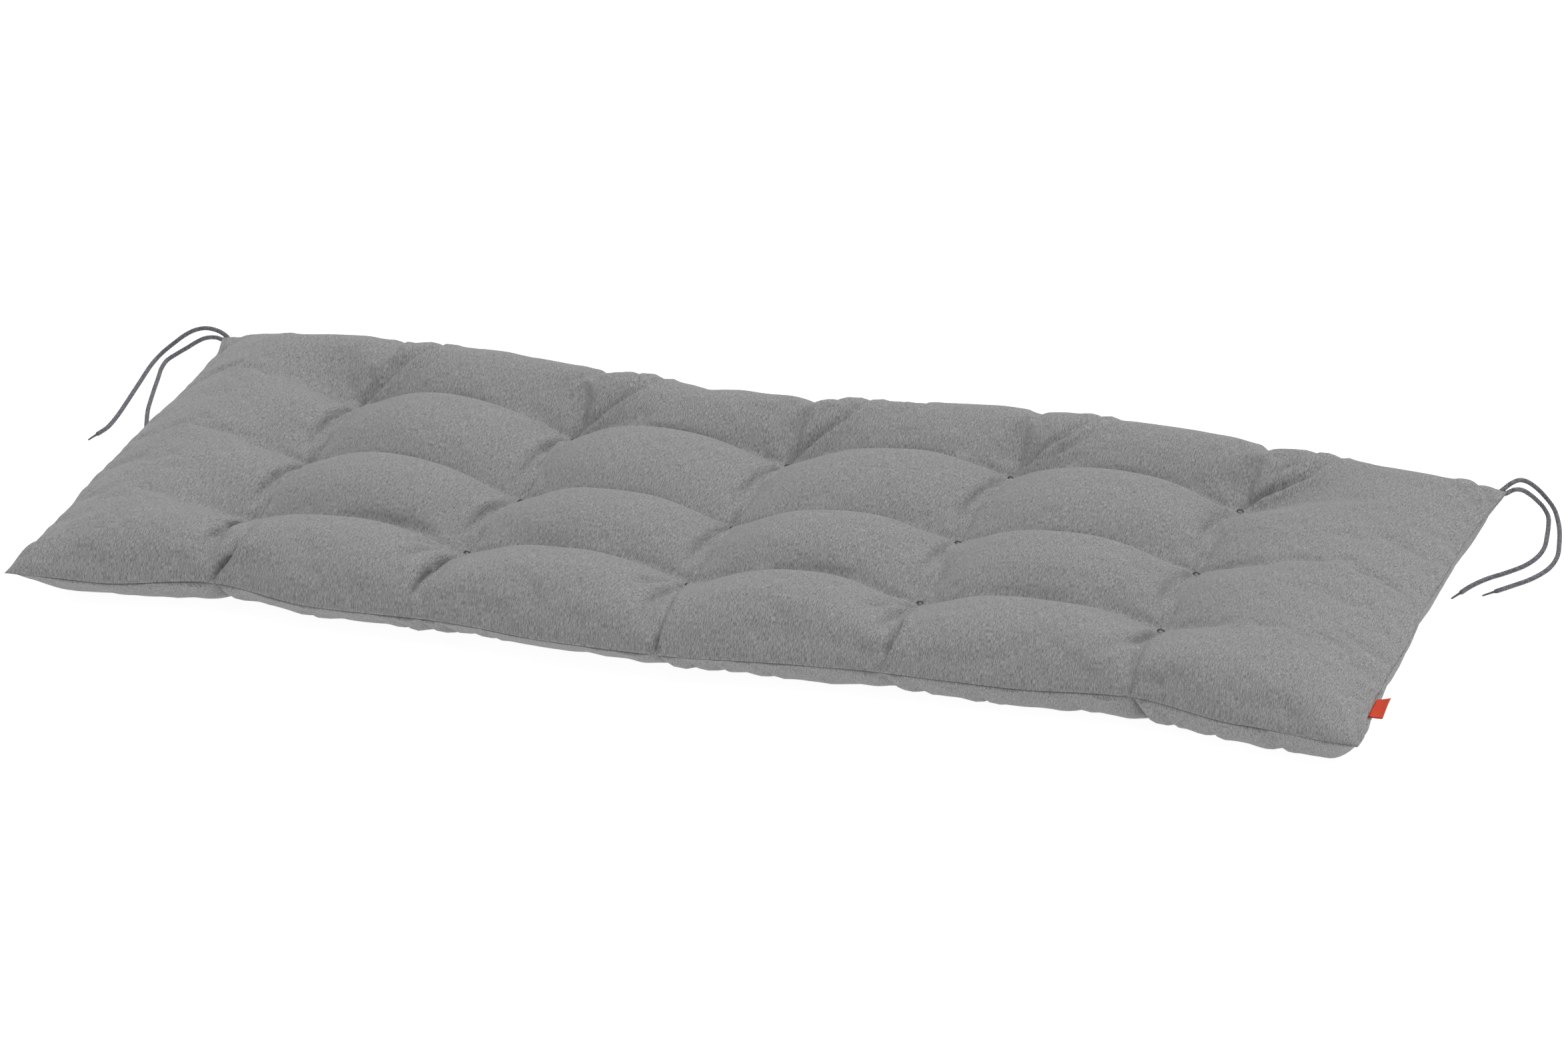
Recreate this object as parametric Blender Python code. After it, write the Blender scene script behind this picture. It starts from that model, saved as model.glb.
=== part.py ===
"""Tufted two-seat bench cushion with four tie cords.

Two woven panels are sewn together round their edge, filled with fibre and pulled down at
fifteen tacks, so that each face is a field of soft lobes. Two cords leave each back corner.
Metres, +Z up. X runs along the cushion, +Y to its back edge, and it lies on z = 0.
"""
import bpy
import bmesh
import numpy as np
from mathutils import Matrix, Vector

MM = 0.001

# Driving dimensions of the sewn cover
LENGTH = 1195 * MM            # seam to seam at the corners, along X
WIDTH = 490 * MM              # seam to seam at the corners, along Y
COLUMNS = 5                   # tacks along X
ROWS = 3                      # tacks along Y
COLUMN_PITCH = 200 * MM
ROW_PITCH = 124 * MM
GRID_X = -12 * MM             # middle tack, from the middle of the finished cushion
GRID_Y = -1.5 * MM

# Heights above the surface that the cushion lies on
TOP_RISE = 50 * MM            # a lobe's crest above the seam
TACK_TOP = 40 * MM            # upper panel at a tack
TACK_UNDER = 15 * MM          # lower panel at a tack
UNDER_SWELL = 6 * MM          # how far the lower panel would bulge below z = 0

# How the panels leave the seam and the tacks
TOP_SIDE_ROLL = 66 * MM       # reach of the round edge, along the long sides
TOP_END_ROLL = 160 * MM       # the same at the two ends
UNDER_SIDE_ROLL = 78 * MM
UNDER_END_ROLL = 90 * MM
SIDE_ROUNDNESS = 0.55         # 0.5 leaves the seam upright, 1 leaves it flatter
END_ROUNDNESS = 0.75
UNDER_ROUNDNESS = 0.90
TACK_SEAT = 5 * MM            # half side of the flat patch under a tack
DIP_REACH = 27 * MM
COLUMN_VALLEY = 0.52          # share of the rise lost in the valley between two tacks
COLUMN_VALLEY_WIDTH = 21 * MM
ROW_VALLEY = 0.60
ROW_VALLEY_WIDTH = 15 * MM
END_VALLEY = 0.30             # share of a row's valley that reaches the cushion's ends
SIDE_VALLEY = 0.35            # share of a column's valley that reaches the long seams
EDGE_CREASE = 0.22            # extra fold from the outer tacks to the long seams
EDGE_CREASE_WIDTH = 6 * MM
DIP_POWER = 1.25              # 1 makes a dip pointed, 2 makes it round
VALLEY_POWER = 1.3            # the same for a valley
LEAN = 0.28                   # how much steeper a lobe is at its +X end
SIDE_DRAW_POWER = 2           # how near the long seams the drawing-in stays
END_DRAW_POWER = 5            # the same at the two ends
EAR_POWER = 8                 # how near the corners the ends' seam height stays

# Grid of the panels: faces along one lobe
LOBE_STEPS_X = 9
LOBE_STEPS_Y = 7
CROWDING = 0.085              # how much closer the grid lines are beside a tack

# Where each tack really sits, as sewn: place in its column, offset from the even grid
TACK_OFFSETS_MM = {
    #            column 1   column 2    column 3     column 4   column 5
    "front": ((-2, 5), (-1, 0), (0, -8), (-3, 7), (2, 7)),
    "middle": ((1, 6), (5, -10), (0, -19), (-8, 4), (1, -1)),
    "back": ((-2, 5), (5, -5), (4, -10), (-3, 15), (3, 4)),
}

# How full each lobe is, against the fullest: six lobes a row, from -X to +X
LOBE_FILL = {
    #            lobe 1  lobe 2  lobe 3  lobe 4  lobe 5  lobe 6
    "front": (0.90, 0.91, 0.88, 0.93, 0.82, 0.81),
    "mid_front": (0.93, 1.02, 0.94, 0.95, 0.93, 0.87),
    "mid_back": (0.95, 1.02, 0.97, 0.94, 0.95, 0.92),
    "back": (0.94, 1.00, 0.92, 0.91, 0.97, 0.87),
}

# The seam along each edge: place along it, how far it is drawn in, its height
SEAM_MM = {
    "front": (
        (-598, 2, 33), (-500, 9, 29), (-392, 22, 34), (-300, 12, 30), (-185, 15, 31),
        (-90, 9, 31), (5, 11, 31), (95, 10, 33), (212, 20, 36), (300, 15, 35),
        (402, 21, 36), (500, 4, 32), (598, -3, 33),
    ),
    "back": (
        (-598, -6, 38), (-500, 8, 34), (-385, 13, 37), (-300, 8, 35), (-180, 15, 37),
        (-90, 12, 32), (20, 15, 37), (100, 11, 34), (215, 14, 36), (300, 12, 33),
        (415, 19, 34), (500, 25, 27), (598, 13, 37),
    ),
    "left": (
        (-245, 27, 33), (-124, 25, 33), (-60, 20, 32), (0, 21, 34), (62, 19, 33),
        (130, 23, 35), (205, 21, 36), (245, 14, 38),
    ),
    "right": (
        (-245, -4, 33), (-180, 1, 33), (-124, 3, 34), (-62, 2, 33), (0, 4, 34),
        (62, 2, 34), (124, 2, 35), (245, -8, 37),
    ),
}

# Tie cords
CORD_DIAMETER = 4 * MM
CORD_STEP = 2.6 * CORD_DIAMETER
TIP_DIAMETER = 2.4 * MM
TIP_LENGTH = 13 * MM
SEAT_GAP = 0.3 * MM           # between two pieces that touch

# Routes of the cords in millimetres, from the ear to the sealed end
CORD_ROUTES_MM = {
    "tie_left_outer": (
        (-594.5, 250.9, 39.6), (-604, 254.5, 42), (-618, 260.5, 40.5), (-633, 267.5, 34),
        (-647, 273.5, 24.5), (-659, 276.5, 14.5), (-668, 272.5, 7), (-671.5, 260.5, 3.2),
        (-670.5, 243.5, 2.4), (-667, 220.5, 2.3), (-663, 194.5, 2.3), (-659, 168.5, 2.3),
        (-655, 140.5, 2.3), (-653, 114.5, 2.3), (-656, 96.5, 2.3),
    ),
    "tie_left_inner": (
        (-596.4, 248.1, 36.4), (-605, 250.5, 37), (-617, 255.5, 33), (-629, 261, 25.5),
        (-641, 265.5, 16.5), (-652, 266.5, 9), (-659.5, 259.5, 4.4), (-659, 245.5, 2.6),
        (-654, 227.5, 2.3), (-647.5, 204.5, 2.3), (-640.5, 180.5, 2.3), (-633, 156.5, 2.3),
        (-623.5, 132.5, 2.3), (-614, 109.5, 2.3), (-608, 88.5, 2.3),
    ),
    "tie_right_outer": (
        (592.6, 232.9, 39.4), (597, 240.5, 41.5), (602, 250.5, 40.5), (607, 261.5, 34),
        (613, 270.5, 24.5), (620, 275.5, 14), (627, 272.5, 6.8), (633, 260.5, 3.2),
        (639, 241.5, 2.4), (645, 214.5, 2.3), (649, 188.5, 2.3), (647, 164.5, 2.3),
        (638, 142.5, 2.3), (625, 124.5, 2.3), (614, 110.5, 2.3),
    ),
    "tie_right_inner": (
        (594.8, 230.1, 36.2), (600, 237.5, 37), (605, 247, 33), (609.5, 256, 25.5),
        (614, 263, 17.5), (619.5, 265, 10.5), (625, 259.5, 5.2), (628.5, 245.5, 2.8),
        (632, 224.5, 2.3), (634.5, 204.5, 2.3), (633, 184.5, 2.3), (626.5, 165.5, 2.3),
        (615, 148.5, 2.3), (602, 132.5, 2.3), (593, 116.5, 2.3), (587, 100.5, 2.3),
    ),
}

# Woven tab in the right side seam, near the front corner
TAB_WIDTH = 30 * MM
TAB_REACH = 10 * MM
TAB_THICKNESS = 1.4 * MM
TAB_CENTRE_Y = -180 * MM      # from the middle tack

# Tack: a short bar of thread that lies in the dip
TACK_LENGTH = 8 * MM
TACK_WIDTH = 3 * MM
TACK_RISE = 1.6 * MM


def smooth(t):
    """Ease from 0 to 1."""
    t = np.clip(t, 0.0, 1.0)
    return t * t * (3.0 - 2.0 * t)


def tack_grid():
    """Even places of the tacks along X and along Y."""
    columns = [(i - (COLUMNS - 1) / 2) * COLUMN_PITCH for i in range(COLUMNS)]
    rows = [(j - (ROWS - 1) / 2) * ROW_PITCH for j in range(ROWS)]
    return columns, rows


def read_along(edge, column, x):
    """Ease through one column of an edge's table at the places x, in metres."""
    table = SEAM_MM[edge]
    places = np.array([row[0] for row in table]) * MM
    values = np.array([row[column] for row in table]) * MM
    i = np.clip(np.searchsorted(places, x) - 1, 0, len(places) - 2)
    t = smooth((x - places[i]) / (places[i + 1] - places[i]))
    return values[i] + (values[i + 1] - values[i]) * t


def blend_weights(x, stops):
    """Weight of each stop at x: 1 on the stop, easing to 0 on its neighbours."""
    weights = []
    for k, stop in enumerate(stops):
        low = smooth((x - stops[k - 1]) / (stop - stops[k - 1])) if k > 0 else np.ones_like(x)
        last = k == len(stops) - 1
        high = np.ones_like(x) if last else smooth((stops[k + 1] - x) / (stops[k + 1] - stop))
        weights.append(low * high)
    return weights


def sewn_offset(x, y):
    """How far the uneven tacks carry the cloth from the even grid."""
    columns, rows = tack_grid()
    across = blend_weights(x, columns)
    along = blend_weights(y, rows)
    dx = np.zeros_like(x)
    dy = np.zeros_like(x)
    for j, name in enumerate(("front", "middle", "back")):
        for i, (ox, oy) in enumerate(TACK_OFFSETS_MM[name]):
            weight = across[i] * along[j]
            dx = dx + weight * ox * MM
            dy = dy + weight * oy * MM
    fade = smooth((LENGTH / 2 - np.abs(x)) / (LENGTH / 2 - columns[-1]))
    return dx * fade, dy * fade


def plan(x, y):
    """Place of the cloth seen from above, for the even cover's point (x, y)."""
    across = x / (LENGTH / 2)
    along = y / (WIDTH / 2)
    dx, dy = sewn_offset(x, y)
    draw_front = read_along("front", 1, x) * np.clip(-along, 0, 1) ** SIDE_DRAW_POWER
    draw_back = read_along("back", 1, x) * np.clip(along, 0, 1) ** SIDE_DRAW_POWER
    draw_left = read_along("left", 1, y) * np.clip(-across, 0, 1) ** END_DRAW_POWER
    draw_right = read_along("right", 1, y) * np.clip(across, 0, 1) ** END_DRAW_POWER
    plan_x = x + dx + draw_left - draw_right + GRID_X
    plan_y = y + dy + draw_front - draw_back + GRID_Y
    return plan_x, plan_y


def seam_height(x, y):
    """Height of the seam that the panels leave, eased from edge to edge."""
    back = smooth(y / WIDTH + 0.5)
    sides = read_along("front", 2, x) * (1 - back) + read_along("back", 2, x) * back
    right = smooth(x / LENGTH + 0.5)
    ends = read_along("left", 2, y) * (1 - right) + read_along("right", 2, y) * right
    near_end = np.abs(x / (LENGTH / 2)) ** EAR_POWER
    near_side = np.abs(y / (WIDTH / 2)) ** EAR_POWER
    share = near_end * (1 - near_side)
    return sides * (1 - share) + ends * share


def edge_roll(x, y, side_roll, end_roll, side_roundness, end_roundness):
    """0 on the seam, 1 in the field: the swell of a panel away from its edge."""
    from_end = np.clip((LENGTH / 2 - np.abs(x)) / end_roll, 0.0, 1.0)
    from_side = np.clip((WIDTH / 2 - np.abs(y)) / side_roll, 0.0, 1.0)
    end = (1 - (1 - from_end) ** 2) ** end_roundness
    side = (1 - (1 - from_side) ** 2) ** side_roundness
    return end * side


def lobe_fill(x, y):
    """Share of the full swell that the lobe round (x, y) has."""
    columns, rows = tack_grid()
    across = [columns[0] - COLUMN_PITCH / 2] + [c + COLUMN_PITCH / 2 for c in columns]
    along = [rows[0] - ROW_PITCH / 2] + [r + ROW_PITCH / 2 for r in rows]
    fill = np.zeros_like(x)
    for name, weight_y in zip(LOBE_FILL, blend_weights(y, along)):
        for share, weight_x in zip(LOBE_FILL[name], blend_weights(x, across)):
            fill = fill + share * weight_x * weight_y
    return fill


def off_column(x, column):
    """Distance from a column of tacks, counted short on the side where the lobe is fuller."""
    off = x - column
    lean = np.where(off < 0, 1 - LEAN, 1.0)
    return np.maximum(np.abs(off) - TACK_SEAT, 0.0) / lean


def off_row(y, row):
    """Distance from a row of tacks."""
    return np.maximum(np.abs(y - row) - TACK_SEAT, 0.0)


def tack_pull(x, y):
    """1 at a tack, 0 far from all of them."""
    columns, rows = tack_grid()
    free = np.ones_like(x)
    for column in columns:
        for row in rows:
            reach = np.hypot(off_column(x, column), off_row(y, row)) / DIP_REACH
            free = free * (1 - np.exp(-reach ** DIP_POWER))
    return 1 - free


def valleys(x, y):
    """Share of the swell that is left in the valleys between neighbouring tacks."""
    columns, rows = tack_grid()
    left = np.ones_like(x)
    to_seam = smooth((np.abs(y) - rows[-1]) / (WIDTH / 2 - rows[-1]))
    depth = COLUMN_VALLEY * (1 - (1 - SIDE_VALLEY) * to_seam)
    for column in columns:
        off = off_column(x, column)
        fold = EDGE_CREASE * to_seam * np.exp(-off / EDGE_CREASE_WIDTH)
        left = left * (1 - depth * np.exp(-(off / COLUMN_VALLEY_WIDTH) ** VALLEY_POWER))
        left = left * (1 - fold)
    to_end = smooth((np.abs(x) - columns[-1]) / (LENGTH / 2 - columns[-1]))
    depth = ROW_VALLEY * (1 - (1 - END_VALLEY) * to_end)
    for row in rows:
        reach = off_row(y, row) / ROW_VALLEY_WIDTH
        left = left * (1 - depth * np.exp(-reach ** VALLEY_POWER))
    return left


def top_height(x, y):
    """Upper panel."""
    seam = seam_height(x, y)
    field = edge_roll(x, y, TOP_SIDE_ROLL, TOP_END_ROLL, SIDE_ROUNDNESS, END_ROUNDNESS)
    rise = TOP_RISE * lobe_fill(x, y) * field * valleys(x, y)
    pull = tack_pull(x, y)
    return seam + rise * (1 - pull) + (TACK_TOP - seam) * pull * field


def under_height(x, y):
    """Lower panel, pressed flat where it meets the surface."""
    seam = seam_height(x, y)
    field = edge_roll(x, y, UNDER_SIDE_ROLL, UNDER_END_ROLL, UNDER_ROUNDNESS, UNDER_ROUNDNESS)
    pull = tack_pull(x, y)
    drop = (seam + UNDER_SWELL) * field * (1 - pull) + (seam - TACK_UNDER) * pull * field
    return np.maximum(seam - drop, 0.0)


def lobe_stops(half_size, tacks, steps):
    """Grid lines along one axis: close together at the tacks, wide apart on the lobes."""
    starts = [-half_size] + [t + TACK_SEAT for t in tacks]
    ends = [t - TACK_SEAT for t in tacks] + [half_size]
    stops = []
    for start, end in zip(starts, ends):
        t = np.linspace(0.0, 1.0, steps + 1)
        crowd = t - CROWDING * np.sin(2 * np.pi * t)
        stops.extend(start + (end - start) * crowd)
    return np.array(stops)


def material(name, colour, roughness):
    """One plain finish."""
    made = bpy.data.materials.new(name)
    made.use_nodes = True
    shader = made.node_tree.nodes["Principled BSDF"]
    shader.inputs["Base Color"].default_value = (*colour, 1.0)
    shader.inputs["Roughness"].default_value = roughness
    shader.inputs["Metallic"].default_value = 0.0
    return made


def add_object(name, data, finish):
    """Put a mesh or a curve in the scene under its node's name."""
    made = bpy.data.objects.new(name, data)
    data.materials.append(finish)
    bpy.context.scene.collection.objects.link(made)
    return made


def build_cushion(finish):
    """Both panels and the filling as one closed body."""
    columns, rows = tack_grid()
    xs = lobe_stops(LENGTH / 2, columns, LOBE_STEPS_X)
    ys = lobe_stops(WIDTH / 2, rows, LOBE_STEPS_Y)
    grid_x, grid_y = np.meshgrid(xs, ys, indexing="ij")
    plan_x, plan_y = plan(grid_x, grid_y)
    heights = {"top": top_height(grid_x, grid_y), "under": under_height(grid_x, grid_y)}
    count_x, count_y = grid_x.shape

    mesh = bmesh.new()
    corners = {}
    for side, height in heights.items():
        for i in range(count_x):
            for j in range(count_y):
                on_seam = i in (0, count_x - 1) or j in (0, count_y - 1)
                if side == "under" and on_seam:
                    corners[side, i, j] = corners["top", i, j]
                    continue
                point = (plan_x[i, j], plan_y[i, j], height[i, j])
                corners[side, i, j] = mesh.verts.new(point)
    for side in heights:
        for i in range(count_x - 1):
            for j in range(count_y - 1):
                face = [corners[side, i, j], corners[side, i + 1, j],
                        corners[side, i + 1, j + 1], corners[side, i, j + 1]]
                mesh.faces.new(face if side == "top" else face[::-1])
    data = bpy.data.meshes.new("cushion")
    mesh.to_mesh(data)
    mesh.free()
    data.shade_smooth()
    return add_object("cushion", data, finish)


def build_tacks(finish):
    """A bar of thread in each dip of the upper panel."""
    columns, rows = tack_grid()
    for j, row in enumerate(rows):
        for i, column in enumerate(columns):
            x, y = plan(np.array([column]), np.array([row]))
            mesh = bmesh.new()
            bmesh.ops.create_uvsphere(mesh, u_segments=10, v_segments=5, radius=0.5)
            bmesh.ops.scale(mesh, vec=(TACK_LENGTH, TACK_WIDTH, TACK_RISE), verts=mesh.verts)
            name = "tack_%d_%d" % (j + 1, i + 1)
            data = bpy.data.meshes.new(name)
            mesh.to_mesh(data)
            mesh.free()
            data.shade_smooth()
            tack = add_object(name, data, finish)
            tack.location = (x[0], y[0], TACK_TOP + TACK_RISE / 2 + SEAT_GAP)


def smooth_route(points, step):
    """Points a step apart on one smooth curve through a route's own points."""
    route = [Vector(p) * MM for p in points]
    ends = [route[0] * 2 - route[1]] + route + [route[-1] * 2 - route[-2]]
    fine = []
    for k in range(1, len(ends) - 2):
        a, b, c, d = ends[k - 1:k + 3]
        for s in range(16):
            t = s / 16
            fine.append(0.5 * (2 * b + (c - a) * t + (2 * a - 5 * b + 4 * c - d) * t ** 2
                               + (3 * b - 3 * c + d - a) * t ** 3))
    fine.append(route[-1])
    length = sum((q - p).length for p, q in zip(fine, fine[1:]))
    count = max(round(length / step), 1)
    out = [fine[0]]
    walked = 0.0
    for p, q in zip(fine, fine[1:]):
        span = (q - p).length
        while len(out) < count and walked + span >= len(out) * length / count:
            out.append(p.lerp(q, (len(out) * length / count - walked) / span))
        walked += span
    out.append(fine[-1])
    return out


def build_tube(name, points, diameter, finish):
    """A round cord through the points, closed at both ends."""
    data = bpy.data.curves.new(name, "CURVE")
    data.dimensions = "3D"
    data.bevel_depth = diameter / 2
    data.bevel_resolution = 2
    data.use_fill_caps = True
    spline = data.splines.new("POLY")
    spline.points.add(len(points) - 1)
    for knot, point in zip(spline.points, points):
        knot.co = (*point, 1.0)
    return add_object(name, data, finish)


def build_ties(finish):
    """Four cords, each with its sealed tip."""
    for name, route in CORD_ROUTES_MM.items():
        points = smooth_route(route, CORD_STEP)
        build_tube(name, points, CORD_DIAMETER, finish)
        onward = (points[-1] - points[-2]).normalized()
        start = points[-1] + onward * SEAT_GAP
        tip = [start + onward * TIP_LENGTH * t for t in (0.0, 0.5, 1.0)]
        build_tube(name + "_tip", tip, TIP_DIAMETER, finish)


def build_tab(finish):
    """The folded ribbon tab that stands out of the right side seam."""
    along = np.linspace(-TAB_WIDTH / 2, TAB_WIDTH / 2, 9) + TAB_CENTRE_Y
    end = np.full_like(along, LENGTH / 2)
    seam_x, seam_y = plan(end, along)
    seam_z = seam_height(end, along)
    low = Vector((seam_x[0], seam_y[0], seam_z[0]))
    high = Vector((seam_x[-1], seam_y[-1], seam_z[-1]))
    side = (high - low).normalized()
    out = side.cross(Vector((0.0, 0.0, 1.0))).normalized()
    bulge = max((Vector(p) - low).dot(out) for p in zip(seam_x, seam_y, seam_z))
    mesh = bmesh.new()
    bmesh.ops.create_cube(mesh, size=1.0)
    bmesh.ops.scale(mesh, vec=(TAB_REACH, TAB_WIDTH, TAB_THICKNESS), verts=mesh.verts)
    data = bpy.data.meshes.new("label_tab")
    mesh.to_mesh(data)
    mesh.free()
    tab = add_object("label_tab", data, finish)
    tab.rotation_euler = Matrix((out, side, out.cross(side))).transposed().to_euler()
    tab.location = (low + high) / 2 + out * (TAB_REACH / 2 + bulge + SEAT_GAP)


def main():
    for old in list(bpy.data.objects):
        bpy.data.objects.remove(old, do_unlink=True)
    cloth = material("grey_weave", (0.30, 0.30, 0.31), 0.9)
    thread = material("grey_thread", (0.09, 0.09, 0.095), 0.8)
    braid = material("dark_braid", (0.11, 0.11, 0.12), 0.85)
    ribbon = material("red_ribbon", (0.72, 0.10, 0.05), 0.7)
    build_cushion(cloth)
    build_tacks(thread)
    build_ties(braid)
    build_tab(ribbon)


main()
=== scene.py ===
"""Looks of the tufted bench cushion: woven cover, seam, creases, tacks, braided ties and tab."""
import math

import bpy
import numpy as np
from mathutils import Matrix, Vector


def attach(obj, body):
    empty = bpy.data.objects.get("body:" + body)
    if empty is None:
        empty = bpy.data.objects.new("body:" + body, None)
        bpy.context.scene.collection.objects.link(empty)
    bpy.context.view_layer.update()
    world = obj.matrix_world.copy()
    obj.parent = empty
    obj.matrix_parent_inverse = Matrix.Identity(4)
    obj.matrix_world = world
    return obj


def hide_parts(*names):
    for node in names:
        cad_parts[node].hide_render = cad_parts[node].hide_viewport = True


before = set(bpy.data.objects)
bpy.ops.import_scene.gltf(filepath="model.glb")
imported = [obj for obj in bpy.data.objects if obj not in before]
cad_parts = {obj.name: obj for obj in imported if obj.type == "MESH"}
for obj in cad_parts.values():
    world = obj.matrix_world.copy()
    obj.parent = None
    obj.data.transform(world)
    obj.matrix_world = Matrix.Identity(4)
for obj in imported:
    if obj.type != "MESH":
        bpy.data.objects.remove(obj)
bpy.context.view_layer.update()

MM = 0.001

# The camera that fits the photograph, whose image is this many pixels wide
IMAGE_WIDTH = 2351
FOCAL_PIXELS = 9812.35
SENSOR_WIDTH = 36
CAMERA_PLACE = (1.72233, -4.69974, 2.39753)
CAMERA_AZIMUTH = math.radians(-19.84)
CAMERA_ELEVATION = math.radians(25.229)
CAMERA_ROLL = math.radians(-2)
CAMERA_CLIP = 60

# The sewn cover, as in the solids
LENGTH = 1195 * MM
WIDTH = 490 * MM
COLUMNS = 5
ROWS = 3
COLUMN_PITCH = 200 * MM
ROW_PITCH = 124 * MM
COLUMN_X = [(i - (COLUMNS - 1) / 2) * COLUMN_PITCH for i in range(COLUMNS)]
ROW_Y = [(j - (ROWS - 1) / 2) * ROW_PITCH for j in range(ROWS)]
TACKS = [(i, j, COLUMN_X[i], ROW_Y[j]) for i in range(COLUMNS) for j in range(ROWS)]
GRID_X = -12 * MM
GRID_Y = -1.5 * MM
TOP_RISE = 48 * MM  # before the filling swells the cover
TACK_TOP = 42.5 * MM
TACK_UNDER = 15 * MM
UNDER_SWELL = 6 * MM
TOP_SIDE_ROLL = 66 * MM
TOP_END_ROLL = 160 * MM
UNDER_BACK_ROLL = 78 * MM
UNDER_LEFT_ROLL = 52 * MM
UNDER_RIGHT_ROLL = 32 * MM
SIDE_ROUNDNESS = 0.55
END_ROUNDNESS = 0.75
UNDER_ROUNDNESS = 0.9
DIP_REACH = 30 * MM
DIP_POWER = 1.1
COLUMN_VALLEY = 0.62
COLUMN_VALLEY_WIDTH = 31 * MM
COLUMN_VALLEY_POWER = 1.15
ROW_VALLEY = 0.5
ROW_VALLEY_WIDTH = 14 * MM  # on the front lobe's side
ROW_VALLEY_OPEN = 26 * MM  # and on the side of the lobe behind
ROW_VALLEY_POWER = 1.3
END_VALLEY = 0.05
END_FADE = 130 * MM
END_WIDEN = 2.4  # and the valleys grow wider as they fade
FRONT_VALLEY = 0.35  # share of a column valley that is left at each long seam
BACK_VALLEY = 0.1
BACK_FADE = 62 * MM
FRONT_CREASE = 0.22
BACK_CREASE = 0.04
EDGE_CREASE_WIDTH = 6 * MM
LEAN_STEEP = 0.9  # reach of a dip on the side of a lobe's +X end
LEAN_GENTLE = 1.02
SIDE_DRAW_POWER = 2
END_DRAW_POWER = 5
EAR_POWER = 8

TACK_OFFSETS_MM = (  # rows from the front, columns from the left
    ((-2, 5), (-1, 0), (0, -8), (-3, 7), (2, 7)),
    ((1, 6), (5, -10), (0, -19), (-8, 4), (1, -1)),
    ((-2, 5), (5, -5), (4, -10), (-3, 15), (3, 4)),
)
LOBE_FILL = (  # in the same order
    (0.9, 0.875, 0.86, 0.87, 0.75, 0.79),
    (0.93, 0.99, 0.93, 0.94, 0.94, 0.87),
    (0.95, 1.01, 0.97, 0.94, 0.975, 0.92),
    (0.94, 1.00, 0.92, 0.91, 0.97, 0.93),
)
# How far in the lower panel curves down along the front edge: place along it, width of the curve
UNDER_FRONT_MM = (
    (-598, 76), (-500, 82), (-440, 74), (-392, 100), (-350, 92), (-300, 88), (-200, 96),
    (0, 104), (60, 92), (150, 66), (200, 80), (240, 68), (300, 64), (350, 68), (402, 66),
    (450, 59), (540, 54), (598, 64),
)
# The seam along each edge: place along it, how far it is drawn in, its height
SEAM_MM = {
    "front": (
        (-598, 2, 33), (-500, 9, 29), (-392, 22, 34), (-300, 12, 30), (-185, 15, 31),
        (-90, 9, 31), (5, 11, 31), (95, 10, 33), (212, 13, 32), (300, 13, 32),
        (402, 19, 35), (500, 4, 32), (598, -3, 33),
    ),
    "back": (
        (-598, -6, 38), (-500, 8, 34), (-385, 13, 37), (-300, 8, 35), (-180, 15, 37),
        (-90, 12, 32), (20, 15, 37), (100, 11, 34), (215, 14, 36), (300, 12, 33),
        (415, 19, 34), (500, 25, 31), (598, 13, 37),
    ),
    "left": (
        (-245, 27, 33), (-124, 25, 33), (-60, 20, 32), (0, 21, 34), (62, 19, 33),
        (130, 23, 35), (205, 21, 36), (245, 14, 38),
    ),
    "right": (
        (-245, -4, 32), (-180, 0, 33), (-124, 2, 34), (-62, 1, 33), (0, 4, 34),
        (62, 2, 34), (124, 1, 35), (245, -8, 37),
    ),
}

# Finer form of the cloth, which the solids leave out
TACK_SEAT = 1.5 * MM  # half side of the stitched spot
PINCH_DEPTH = 1 * MM  # the sharp end of a dip
PINCH_REACH = 6 * MM
SEAM_DEPTH = 2.2 * MM  # groove where the panels meet
SEAM_LIP = 0.55 * MM  # how round the cloth turns into it
SEAM_EVEN = 0.75  # share of the depth that is the same all along
SEAM_HAND_PITCH = 30 * MM
SEAM_CORNER = 0.35  # share of the depth that is left at a corner
SEAM_CORNER_REACH = 9 * MM
LIP_REACH = 1.5 * MM  # no finer form this close to the seam
OPEN_FIELD = 30 * MM  # full unevenness this far from it
SEAM_GAPES_MM = (  # open stretches of the right side seam: place, reach, opening
    (-162, 14, 1.6), (-203, 12, 1.4), (-120, 20, 0.5), (60, 40, 0.3),
)
EAR_PUFFS_MM = (  # small swellings beside the corners: place, reach, height
    (-578, -222, 15, 7), (574, 226, 16, 3), (572, -222, 24, 4),
)
BLUNT_MM = {  # each corner: how far it is pushed in, over what length of seam
    (-1, -1): (-1.5, 15), (1, -1): (-0.5, 24), (-1, 1): (-2.5, 16), (1, 1): (-3, 20),
}
BLUNT_POWER = 1.5
TOP_GATHER = (0.9 * MM, 13 * MM, 12 * MM, 21)  # puckers along the seam: height, pitch,
UNDER_GATHER = (2.6 * MM, 19 * MM, 22 * MM, 31)  # reach and first seed
GATHER_SHIFTS = (7.3, 5.1)  # so that facing edges differ
GATHER_FINER = 2.3  # pitch of the small puckers among them
GATHER_LEAST = 0.35  # share of the height where they are weakest
TACK_WRINKLE = 0.7 * MM  # folds that fan out from a tack
TACK_WRINKLE_REACH = 20 * MM
TACK_WRINKLE_LENGTH = 30 * MM
TACK_WRINKLE_COUNT = 11
TACK_FOLD_MM = (  # from the front to a tack, and on to the back: y, x, depth
    ((-104, -9, 0), (-84, -8, 2), (-60, -6, 3.8), (-30, -3, 4.2), (-11, -1, 2.8), (0, 0, 1)),
    ((0, 0, 2), (9, 0, 3), (24, 2, 2), (36, 4, 0)),
)
TACK_FOLD_STEEP = 2  # half width on the side of the lobe that leans over the fold
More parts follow.
